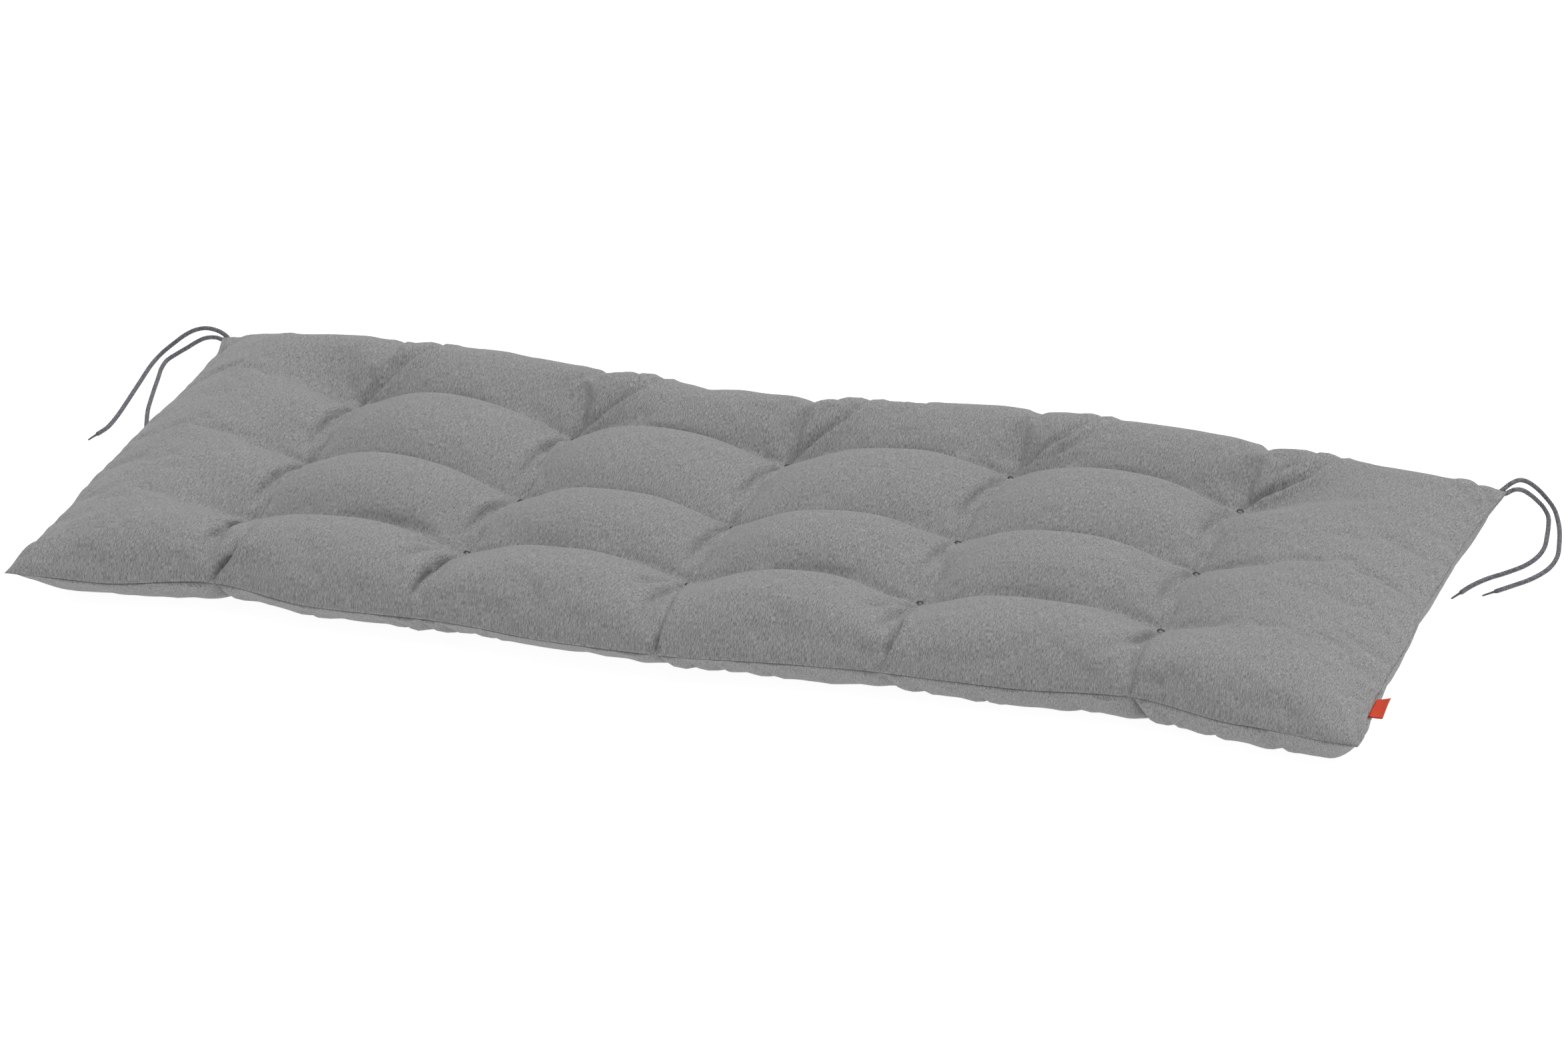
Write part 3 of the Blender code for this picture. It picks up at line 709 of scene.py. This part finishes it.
def sink_seam(grid, x, y):
    """Pull the cloth into the groove where the panels meet."""
    gape = 0
    for place, reach, opening in SEAM_GAPES_MM:
        gape = gape + opening * np.exp(-((y / MM - place) / reach) ** 2) * (x > 0)
    hand = noise(x / SEAM_HAND_PITCH, y / SEAM_HAND_PITCH, SEEDS["seam"])
    depth = SEAM_DEPTH * (SEAM_EVEN + (1 - SEAM_EVEN) * hand + gape)
    lip = SEAM_LIP * (1 + gape)
    arcs = [seam_arc(grid, axis) for axis in (0, 1)]
    for axis, place, other, half in ((0, x, y, WIDTH / 2), (1, y, x, LENGTH / 2)):
        corner = smooth((half - np.abs(other)) / SEAM_CORNER_REACH)
        pull = depth * np.exp(-arcs[axis] / lip) * (SEAM_CORNER + (1 - SEAM_CORNER) * corner)
        grid[..., axis] -= np.sign(place) * pull


def new_mesh(name, points, faces, map_name, places):
    """Smooth mesh, with one place on its map for each corner of a face."""
    data = bpy.data.meshes.new(name)
    data.from_pydata(points, [], faces)
    layer = data.uv_layers.new(name=map_name)
    layer.data.foreach_set("uv", np.array(places, np.float32).ravel())
    data.shade_smooth()
    return data


class Panels:
    """The two panels of the cover as grids of points that share their border."""

    def __init__(self, xs, ys):
        self.x, self.y = np.meshgrid(xs, ys, indexing="ij")
        self.inner = np.zeros(self.x.shape, bool)
        self.inner[1:-1, 1:-1] = True
        px, py = plan(self.x, self.y)
        for (side_x, side_y), (depth, reach) in BLUNT_MM.items():
            from_corner = (LENGTH / 2 - side_x * self.x) + (WIDTH / 2 - side_y * self.y)
            push = depth * MM * np.exp(-(from_corner / (reach * MM)) ** BLUNT_POWER)
            px = px - side_x * push
            py = py - side_y * push
        self.top = np.stack([px, py, top_height(self.x, self.y)], -1)
        self.under = np.stack([px, py, under_height(self.x, self.y)], -1)

    def swell(self):
        """Move the points as the swollen cover moves."""
        xs, ys, top, under = swell()
        self.top = self.top + resample(top, xs, ys, self.x, self.y)
        self.under = self.under + SWELL_UNDER_SHARE * resample(under, xs, ys, self.x, self.y)

    def measure(self):
        """The cloth's own measure across and along, averaged so that its threads stay straight."""
        nx, ny = self.x.shape
        self.map = []
        for grid in (self.top, self.under):
            u = summed(np.linalg.norm(np.diff(grid, axis=0), axis=2).mean(1))
            v = summed(np.linalg.norm(np.diff(grid, axis=1), axis=2).mean(0))
            grid_u, grid_v = np.meshgrid(u - u[nx // 2], v - v[ny // 2], indexing="ij")
            self.map.append(np.stack([grid_u, grid_v], -1))
        self.map[1][..., 1] += 2 * WIDTH

    def finer(self, grid, side, rise, lean_x, table, gather):
        """One panel with its folds and puckers along its normals, on its own side."""
        x, y = self.x, self.y
        lip = away_from_seam(x, y, LIP_REACH)
        sink, move_x, move_y = folds(x, y, table)
        rise = rise + (sink + gathers(x, y, *gather)) * lip
        grid = grid + side * normals(grid) * rise[..., None]
        grid[..., 0] += (move_x + lean_x) * lip
        grid[..., 1] += move_y * lip
        return grid

    def detail(self):
        """Folds, puckers, the hand of the filling and the groove of the seam."""
        x, y = self.x, self.y
        open_field = away_from_seam(x, y, OPEN_FIELD)
        rise = uneven(x, y) * open_field + tack_wrinkles(x, y) * open_field
        tack_sink, lean_x = tack_folds(x, y)
        rise = rise + tack_sink
        for place_x, place_y, reach, height in EAR_PUFFS_MM:
            off = np.hypot(x - place_x * MM, y - place_y * MM) / (reach * MM)
            rise = rise + height * MM * np.exp(-off ** 2)
        self.top = self.finer(self.top, 1, rise, lean_x, FOLDS_MM, TOP_GATHER)
        self.under = self.finer(self.under, -1, 0, 0, UNDER_FOLDS_MM, UNDER_GATHER)
        self.under[..., 2] = np.maximum(self.under[..., 2], 0)
        sink_seam(self.top, x, y)
        sink_seam(self.under, x, y)

    def mesh(self, name):
        """One closed mesh of both panels, with the cloth's own measure as its UV map."""
        nx, ny = self.x.shape
        top_id = np.arange(nx * ny).reshape(nx, ny)
        under_id = top_id.copy()
        under_id[self.inner] = nx * ny + np.arange(self.inner.sum())
        points = np.concatenate([self.top.reshape(-1, 3), self.under[self.inner]])

        def quads(ids, flip):
            a, b, c, d = ids[:-1, :-1], ids[1:, :-1], ids[1:, 1:], ids[:-1, 1:]
            order = (a, d, c, b) if flip else (a, b, c, d)
            return np.stack(order, -1).reshape(-1, 4)

        faces = np.concatenate([quads(top_id, False), quads(under_id, True)])
        places = [uv.reshape(-1, 2)[quads(top_id, flip)].reshape(-1, 2)
                  for uv, flip in zip(self.map, (False, True))]
        return new_mesh(name, points.tolist(), faces.tolist(), "cloth", np.concatenate(places))


def swell():
    """Let the filling push the sewn cover out, as a cloth held at its seam and its tacks."""
    xs = np.linspace(-LENGTH / 2, LENGTH / 2, SWELL_COLUMNS)
    ys = np.linspace(-WIDTH / 2, WIDTH / 2, SWELL_ROWS)
    coarse = Panels(xs, ys)
    coarse.measure()
    data = coarse.mesh("swelling")
    body = add_object("swelling", data)
    before = np.empty(len(data.vertices) * 3)
    data.vertices.foreach_get("co", before)
    before = before.reshape(-1, 3)
    held = ~coarse.inner
    for _, _, column, row in TACKS:
        held = held | (np.hypot(coarse.x - column, coarse.y - row) < SWELL_HOLD)
    resting = coarse.under[..., 2] < SWELL_REST
    pins = np.concatenate([held.ravel(), (held | resting)[coarse.inner]])
    group = body.vertex_groups.new(name="held")
    group.add(np.nonzero(pins)[0].tolist(), 1, "REPLACE")
    cloth = body.modifiers.new("cloth", "CLOTH")
    made = cloth.settings
    made.quality = 6
    made.mass = 0.25
    made.tension_stiffness = 18
    made.compression_stiffness = 8
    made.shear_stiffness = 4
    made.bending_stiffness = 0.15
    made.air_damping = 2
    made.vertex_group_mass = "held"
    made.pin_stiffness = 1
    made.shrink_min = -SWELL_GROWTH
    made.use_pressure = True
    made.uniform_pressure_force = SWELL_PRESSURE
    made.effector_weights.gravity = 0
    cloth.point_cache.frame_start = 1
    cloth.point_cache.frame_end = SWELL_FRAMES
    scene = bpy.context.scene
    for frame_number in range(1, SWELL_FRAMES + 1):
        scene.frame_set(frame_number)
    shaped = body.evaluated_get(bpy.context.evaluated_depsgraph_get()).data
    after = np.empty(len(shaped.vertices) * 3)
    shaped.vertices.foreach_get("co", after)
    move = after.reshape(-1, 3) - before
    size = np.linalg.norm(move, axis=1, keepdims=True)
    move = move * np.minimum(1, SWELL_LIMIT / np.maximum(size, 1e-9))
    scene.frame_set(1)
    bpy.data.objects.remove(body, do_unlink=True)
    bpy.data.meshes.remove(data)
    top = move[:coarse.x.size].reshape(*coarse.x.shape, 3)
    under = top.copy()
    under[coarse.inner] = move[coarse.x.size:]
    return xs, ys, top, under


def resample(field, xs, ys, x, y):
    """Values of an even grid's field at the points (x, y), on smooth curves between its lines."""
    u = (x - xs[0]) / (xs[1] - xs[0])
    v = (y - ys[0]) / (ys[1] - ys[0])
    i = np.clip(np.floor(u).astype(int), 0, len(xs) - 2)
    j = np.clip(np.floor(v).astype(int), 0, len(ys) - 2)
    out = np.zeros(x.shape + (3,))
    for a, weight_a in zip((-1, 0, 1, 2), cubic(u - i)):
        for b, weight_b in zip((-1, 0, 1, 2), cubic(v - j)):
            ia = np.clip(i + a, 0, len(xs) - 1)
            jb = np.clip(j + b, 0, len(ys) - 1)
            out = out + (weight_a * weight_b)[..., None] * field[ia, jb]
    return out


def cubic(t):
    """Weights of four neighbours on a smooth curve, t past the second."""
    return (-0.5 * t + t ** 2 - 0.5 * t ** 3, 1 - 2.5 * t ** 2 + 1.5 * t ** 3,
            0.5 * t + 2 * t ** 2 - 1.5 * t ** 3, -0.5 * t ** 2 + 0.5 * t ** 3)


def make_camera():
    """The photograph's camera."""
    azimuth, elevation, roll = CAMERA_AZIMUTH, CAMERA_ELEVATION, CAMERA_ROLL
    forward = Vector((math.sin(azimuth) * math.cos(elevation),
                      math.cos(azimuth) * math.cos(elevation), -math.sin(elevation)))
    level = forward.cross(Vector((0, 0, 1))).normalized()
    upward = level.cross(forward)
    right = level * math.cos(roll) + upward * math.sin(roll)
    up = upward * math.cos(roll) - level * math.sin(roll)
    camera = bpy.data.cameras.new("camera")
    camera.sensor_width = SENSOR_WIDTH
    camera.lens = FOCAL_PIXELS * SENSOR_WIDTH / IMAGE_WIDTH
    camera.clip_end = CAMERA_CLIP
    seat = bpy.data.objects.new("camera", camera)
    seat.matrix_world = (Matrix.Translation(CAMERA_PLACE)
                         @ Matrix((right, up, -forward)).transposed().to_4x4())
    bpy.context.scene.collection.objects.link(seat)
    bpy.context.scene.camera = seat


def add_object(name, data, finish=None):
    """Put a mesh in the scene."""
    made = bpy.data.objects.new(name, data)
    if finish is not None:
        data.materials.append(finish)
    bpy.context.scene.collection.objects.link(made)
    return made


def add_piece(name, data, finish, node):
    """Put a piece of the cushion in the scene, in the place of its solid."""
    piece = add_object(name, data, finish)
    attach(piece, "root")
    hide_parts(node)
    return piece


def set_inputs(node, values):
    """Set the inputs of a node by their names."""
    for name, value in values.items():
        node.inputs[name].default_value = value


class Nodes:
    """Short way to wire a material's nodes."""

    def __init__(self, name, map_name, finish):
        self.material = bpy.data.materials.new(name)
        self.material.use_nodes = True
        self.tree = self.material.node_tree
        self.shader = self.tree.nodes["Principled BSDF"]
        set_inputs(self.shader, finish)
        self.place = self.tree.nodes.new("ShaderNodeUVMap")
        self.place.uv_map = map_name

    def wire(self, source, socket):
        """Link a socket, or set it where the source is a number or a colour."""
        if isinstance(source, (int, float, tuple)):
            socket.default_value = source
        else:
            self.tree.links.new(source, socket)

    def math(self, kind, a, b=0):
        node = self.tree.nodes.new("ShaderNodeMath")
        node.operation = kind
        self.wire(a, node.inputs[0])
        self.wire(b, node.inputs[1])
        return node.outputs[0]

    def noise(self, size_u, size_v, detail, shift=0):
        """Noise whose grains are size_u by size_v on the cloth."""
        scale = self.tree.nodes.new("ShaderNodeMapping")
        set_inputs(scale, {"Scale": (1 / size_u, 1 / size_v, 1), "Location": (shift, shift, 0)})
        self.wire(self.place.outputs["UV"], scale.inputs["Vector"])
        grain = self.tree.nodes.new("ShaderNodeTexNoise")
        grain.noise_dimensions = "2D"
        set_inputs(grain, {"Scale": 1, "Detail": detail, "Roughness": 0.5})
        self.wire(scale.outputs["Vector"], grain.inputs["Vector"])
        return grain.outputs["Fac"]

    def weighted(self, parts):
        """0.5 plus each part's swing from its own middle, times its weight."""
        total = 0.5
        for source, weight in parts:
            swing = self.math("SUBTRACT", source, 0.5)
            total = self.math("ADD", self.math("MULTIPLY", swing, weight), total)
        return total

    def mix(self, factor, a, b):
        node = self.tree.nodes.new("ShaderNodeMix")
        node.data_type = "RGBA"
        self.wire(factor, node.inputs["Factor"])
        for value, socket in ((a, node.inputs[6]), (b, node.inputs[7])):
            self.wire((*value, 1) if isinstance(value, tuple) else value, socket)
        return node.outputs[2]

    def colour(self, factor, dark, light):
        self.wire(self.mix(factor, dark, light), self.shader.inputs["Base Color"])

    def bump(self, height, depth, strength):
        node = self.tree.nodes.new("ShaderNodeBump")
        set_inputs(node, {"Distance": depth, "Strength": strength})
        self.wire(height, node.inputs["Height"])
        self.wire(node.outputs["Normal"], self.shader.inputs["Normal"])


def melange(name):
    """Grey cloth of flecked yarns: long streaks along it, short ones across, and a fine grain."""
    made = Nodes(name, "cloth", CLOTH_FINISH)
    warp = made.noise(0.45 * MM, 3.2 * MM, 0)
    warp_long = made.noise(0.6 * MM, 12 * MM, 0, 7)
    weft = made.noise(2 * MM, 0.45 * MM, 0, 3)
    grain = made.noise(0.45 * MM, 0.5 * MM, 1, 11)
    blotch = made.noise(28 * MM, 36 * MM, 2, 5)
    cool = made.noise(3 * MM, 7 * MM, 1, 17)
    yarn = ((warp, 1.2), (warp_long, 0.65), (weft, 0.5), (grain, 1.4), (blotch, 0.08))
    made.colour(made.weighted(yarn), made.mix(cool, CLOTH_DARK_WARM, CLOTH_DARK_COOL),
                made.mix(cool, CLOTH_LIGHT_WARM, CLOTH_LIGHT_COOL))
    made.bump(made.weighted(((warp, 1), (weft, 0.8), (grain, 0.8))), 0.16 * MM, 0.7)
    return made.material


def braid_finish(name):
    """Dark blue-grey braid with lighter and darker yarns at its crossings."""
    made = Nodes(name, "braid", BRAID_FINISH)
    split = made.tree.nodes.new("ShaderNodeSeparateXYZ")
    made.wire(made.place.outputs["UV"], split.inputs[0])
    around = made.math("MULTIPLY", split.outputs[0], 2 * BRAID_STRANDS)
    onward = made.math("MULTIPLY", split.outputs[1], 2)
    pair = made.tree.nodes.new("ShaderNodeCombineXYZ")
    for k, kind in enumerate(("ADD", "SUBTRACT")):
        made.wire(made.math("FLOOR", made.math(kind, around, onward)), pair.inputs[k])
    pick = made.tree.nodes.new("ShaderNodeTexWhiteNoise")
    pick.noise_dimensions = "2D"
    made.wire(pair.outputs[0], pick.inputs["Vector"])
    fibre = made.noise(0.05, 0.1, 2)
    tone = made.weighted(((pick.outputs["Value"], 0.8), (fibre, 0.7)))
    made.colour(tone, BRAID_DARK, BRAID_LIGHT)
    made.bump(fibre, 0.15 * MM, 0.6)
    return made.material


def ribbon_finish(name):
    """Woven ribbon with fine ribs across it."""
    made = Nodes(name, "cloth", RIBBON_FINISH)
    ribs = made.noise(0.45 * MM, 6 * MM, 1)
    across = made.noise(5 * MM, 0.5 * MM, 1, 4)
    made.colour(made.weighted(((ribs, 0.8), (across, 0.5))), RIBBON_DARK, RIBBON_LIGHT)
    made.bump(ribs, 0.12 * MM, 0.8)
    return made.material


def thread_finish(name, dark, light):
    """Twisted sewing thread."""
    made = Nodes(name, "braid", THREAD_FINISH)
    twist = made.noise(0.25, 0.9, 2)
    made.colour(twist, dark, light)
    made.bump(twist, 0.08 * MM, 0.7)
    return made.material


def smooth_route(points, step):
    """Points a step apart on one smooth curve through a route's own points, and its length."""
    route = np.array([Vector(p) * MM for p in points])
    ends = np.concatenate([[2 * route[0] - route[1]], route, [2 * route[-1] - route[-2]]])
    weights = cubic(np.arange(ROUTE_SAMPLES)[:, None] / ROUTE_SAMPLES)
    fine = [sum(w * p for w, p in zip(weights, ends[k:k + 4])) for k in range(len(route) - 1)]
    fine = np.concatenate(fine + [route[-1:]])
    walked = summed(np.linalg.norm(np.diff(fine, axis=0), axis=1))
    at = np.linspace(0, walked[-1], round(walked[-1] / step) + 1)
    return np.stack([np.interp(at, walked, fine[:, k]) for k in range(3)], -1), walked[-1]


def tube(points, radii, sides, along_unit):
    """Points, faces and map of a closed tube, whose radii are given ring by ring."""
    ahead = np.gradient(points, axis=0)
    ahead = ahead / np.linalg.norm(ahead, axis=1, keepdims=True)
    side = np.cross(ahead[0], (0, 0, 1))
    rings = []
    angle = np.arange(sides) * 2 * math.pi / sides
    for point, direction, radius in zip(points, ahead, radii):
        side = side - direction * side.dot(direction)
        side = side / np.linalg.norm(side)
        up = np.cross(side, direction)
        round_it = np.cos(angle)[:, None] * side + np.sin(angle)[:, None] * up
        rings.append(point + round_it * radius[:, None])
    count = len(points)
    verts = np.concatenate(rings + [points[:1], points[-1:]])
    walked = summed(np.linalg.norm(np.diff(points, axis=0), axis=1)) / along_unit
    faces, places = [], []
    for i in range(count - 1):
        for j in range(sides):
            k = (j + 1) % sides
            faces.append((i * sides + j, (i + 1) * sides + j, (i + 1) * sides + k, i * sides + k))
            low, high = j / sides, (j + 1) / sides
            places.extend(((low, walked[i]), (low, walked[i + 1]),
                           (high, walked[i + 1]), (high, walked[i])))
    for ring, middle, flip in ((0, count * sides, False), (count - 1, count * sides + 1, True)):
        for j in range(sides):
            k = (j + 1) % sides
            first, second = (k, j) if flip else (j, k)
            faces.append((middle, ring * sides + first, ring * sides + second))
            places.extend(((j / sides, walked[ring] + 0.5), (j / sides, walked[ring]),
                           ((j + 1) / sides, walked[ring])))
    return verts.tolist(), faces, places


def make_ties():
    """Four braided cords, each with its sealed tip."""
    braid = braid_finish("braid")
    sealed = thread_finish("sealed_end", SEALED_DARK, SEALED_LIGHT)
    strands = np.arange(BRAID_SIDES) * 2 * math.pi / BRAID_SIDES * BRAID_STRANDS
    tip_reach, tip_radii = np.array(TIP_RADII_MM).T * MM
    along = np.linspace(0, TIP_LENGTH, TIP_RINGS)[:, None]
    ripple = np.cos(along * TIP_RIPPLE_RATE + np.arange(TIP_SIDES) * 2 * math.pi / TIP_SIDES)
    tip_radius = np.interp(along, tip_reach, tip_radii) * (1 + TIP_RIPPLE * ripple)
    for name, route in CORD_ROUTES_MM.items():
        exit_mm = CORD_EXITS_MM["left" if "left" in name else "right"]
        inside = tuple(0.5 * (e + r) + s for e, r, s in zip(exit_mm, route[0], CORD_ROOT_MM[name]))
        points, length = smooth_route((inside,) + route, BRAID_STEP)
        for _ in range(BRAID_SOFTENING):
            points[1:-1] = 0.25 * points[:-2] + 0.5 * points[1:-1] + 0.25 * points[2:]
        walked = np.linspace(0, length, len(points))[:, None]
        turn = walked * math.pi / BRAID_PITCH
        relief = np.cos(strands + turn) * np.cos(strands - turn)
        open_braid = smooth((length - walked) / SEAL_REACH)
        radius = CORD_DIAMETER / 2 * (BRAID_BODY + BRAID_RELIEF * relief)
        radius = radius * (SEAL_SHARE + (1 - SEAL_SHARE) * open_braid)
        shape = tube(points, radius, BRAID_SIDES, BRAID_PITCH)
        cord = add_piece(name + "_braid", new_mesh(name + "_braid", *shape[:2], "braid", shape[2]),
                         braid, name)
        onward = points[-1] - points[-2]
        onward = onward / np.linalg.norm(onward)
        shape = tube(points[-1] + onward * (SEAT_GAP + along), tip_radius, TIP_SIDES, TIP_GRAIN)
        tip = add_piece(name + "_sealed", new_mesh(name + "_sealed", *shape[:2], "braid", shape[2]),
                        sealed, name + "_tip")


def make_tacks(panels):
    """A bundle of thread over each tack, in the bottom of its dip."""
    finish = thread_finish("tack_thread", THREAD_DARK, THREAD_LIGHT)
    t = np.linspace(0, 1, THREAD_RINGS)
    arch = np.sin(math.pi * t) ** THREAD_ARCH
    along = (t - 0.5) * THREAD_SPAN
    radii = np.full((THREAD_RINGS, THREAD_SIDES), THREAD_RADIUS)
    for i, j, column, row in sorted(TACKS, key=lambda tack: tack[1]):
        seat = panels.top[np.argmin(np.abs(panels.x[:, 0] - column)),
                          np.argmin(np.abs(panels.y[0] - row))]
        turn = THREAD_TURN * (lattice(np.int64(i), np.int64(j), SEEDS["thread"]) - 0.5)
        verts, faces, places = [], [], []
        for strand in (-1, 0, 1):
            aside = strand * THREAD_RADIUS * (THREAD_APART - THREAD_CLOSER * arch)
            aside = aside + THREAD_WANDER * np.sin(THREAD_WANDERS * t)
            rise = (THREAD_RISE - THREAD_STAGGER * abs(strand)) * arch - THREAD_SINK
            line = np.stack([along * math.cos(turn) - aside * math.sin(turn),
                             along * math.sin(turn) + aside * math.cos(turn), rise], -1)
            shape = tube(line + seat, radii, THREAD_SIDES, THREAD_TWIST)
            faces.extend(tuple(len(verts) + k for k in face) for face in shape[1])
            verts.extend(shape[0])
            places.extend(shape[2])
        number = "_%d_%d" % (j + 1, i + 1)
        add_piece("thread" + number, new_mesh("thread" + number, verts, faces, "braid", places),
                  finish, "tack" + number)


def make_tab():
    """Ribbon folded over at its free edge, its two cut ends sewn into the right side seam."""
    across = np.linspace(-TAB_WIDTH / 2, TAB_WIDTH / 2, TAB_ACROSS)
    end = np.full_like(across, LENGTH / 2)
    seam = np.stack([*plan(end, across + TAB_CENTRE_Y), seam_height(end, across + TAB_CENTRE_Y)], -1)
    side = (seam[-1] - seam[0]) / np.linalg.norm(seam[-1] - seam[0])
    out = np.cross(side, (0, 0, 1))
    out = out / np.linalg.norm(out)
    up = np.cross(out, side)
    inside = TAB_HOLLOW / 2
    reach = np.linspace(-TAB_ROOT, TAB_REACH - inside - TAB_LAYER, TAB_ALONG)
    turn = np.linspace(math.pi / 2, -math.pi / 2, TAB_BEND)

    def sheet(off):
        """One face of the ribbon: out, round the bend and back, this far from its middle."""
        bend = [(reach[-1] + off * math.cos(a), off * math.sin(a)) for a in turn]
        return [(r, off) for r in reach[:-1]] + bend + [(r, -off) for r in reach[-2::-1]]

    profile = np.array(sheet(inside + TAB_LAYER) + sheet(inside)[::-1])
    count = len(profile)
    measure = summed(np.linalg.norm(np.diff(profile, axis=0), axis=1))
    verts, faces, places = [], [], []
    for place in across:
        middle = (seam[0] + seam[-1]) / 2 + side * place
        wave = math.sin(TAB_CURL_TURNS[0] * place / TAB_WIDTH + TAB_CURL_TURNS[1])
        for r, h in profile:
            share = np.clip(r / TAB_REACH, 0, 1)
            lift = share * (TAB_CURL * wave + TAB_LIFT * share)
            verts.append(tuple(middle + out * (r + TAB_OUT) + up * (h + lift)))
    for k in range(len(across) - 1):
        for m in range(count):
            n = (m + 1) % count
            faces.append((k * count + m, k * count + n, (k + 1) * count + n, (k + 1) * count + m))
            after = measure[max(m, n)]
            places.extend(((across[k], measure[m]), (across[k], after),
                           (across[k + 1], after), (across[k + 1], measure[m])))
    for k, flip in ((0, True), (len(across) - 1, False)):
        for m in range(count // 2 - 1):
            n = count - 1 - m
            corner = [k * count + v for v in (m, m + 1, n - 1, n)]
            faces.append(tuple(corner[::-1] if flip else corner))
            places.extend(((across[k], measure[m]),) * 4)
    add_piece("tab_ribbon", new_mesh("tab_ribbon", verts, faces, "cloth", places),
              ribbon_finish("ribbon"), "label_tab")


def make_stage():
    """Pale lit floor, an even surround, and one broad soft light overhead."""
    size = FLOOR_HALF
    corners = [(-size, -size, 0), (size, -size, 0), (size, size, 0), (-size, size, 0)]
    floor_data = bpy.data.meshes.new("floor")
    floor_data.from_pydata(corners, [], [(0, 1, 2, 3)])
    paper = bpy.data.materials.new("floor_paper")
    paper.use_nodes = True
    set_inputs(paper.node_tree.nodes["Principled BSDF"], FLOOR_FINISH)
    floor = add_object("floor", floor_data, paper)
    floor.location.z = -FLOOR_GAP
    world = bpy.data.worlds.new("studio")
    world.use_nodes = True
    set_inputs(world.node_tree.nodes["Background"],
               {"Color": (*SURROUND_COLOUR, 1), "Strength": SURROUND})
    bpy.context.scene.world = world
    data = bpy.data.lights.new("overhead", "SUN")
    data.energy = OVERHEAD
    data.color = OVERHEAD_COLOUR
    data.angle = OVERHEAD_SPREAD
    lamp = bpy.data.objects.new("overhead", data)
    lamp.rotation_euler = Vector(OVERHEAD_FROM).to_track_quat("Z", "Y").to_euler()
    bpy.context.scene.collection.objects.link(lamp)
    bpy.context.scene.view_settings.view_transform = "Standard"


make_camera()
make_ties()
panels = Panels(graded_stops(LENGTH / 2, COLUMN_X, OPEN_STEP_X),
                graded_stops(WIDTH / 2, ROW_Y, OPEN_STEP_Y))
panels.swell()
panels.measure()
panels.detail()
cushion = add_piece("cover", panels.mesh("cover"), melange("melange"), "cushion")
make_tacks(panels)
make_tab()
make_stage()
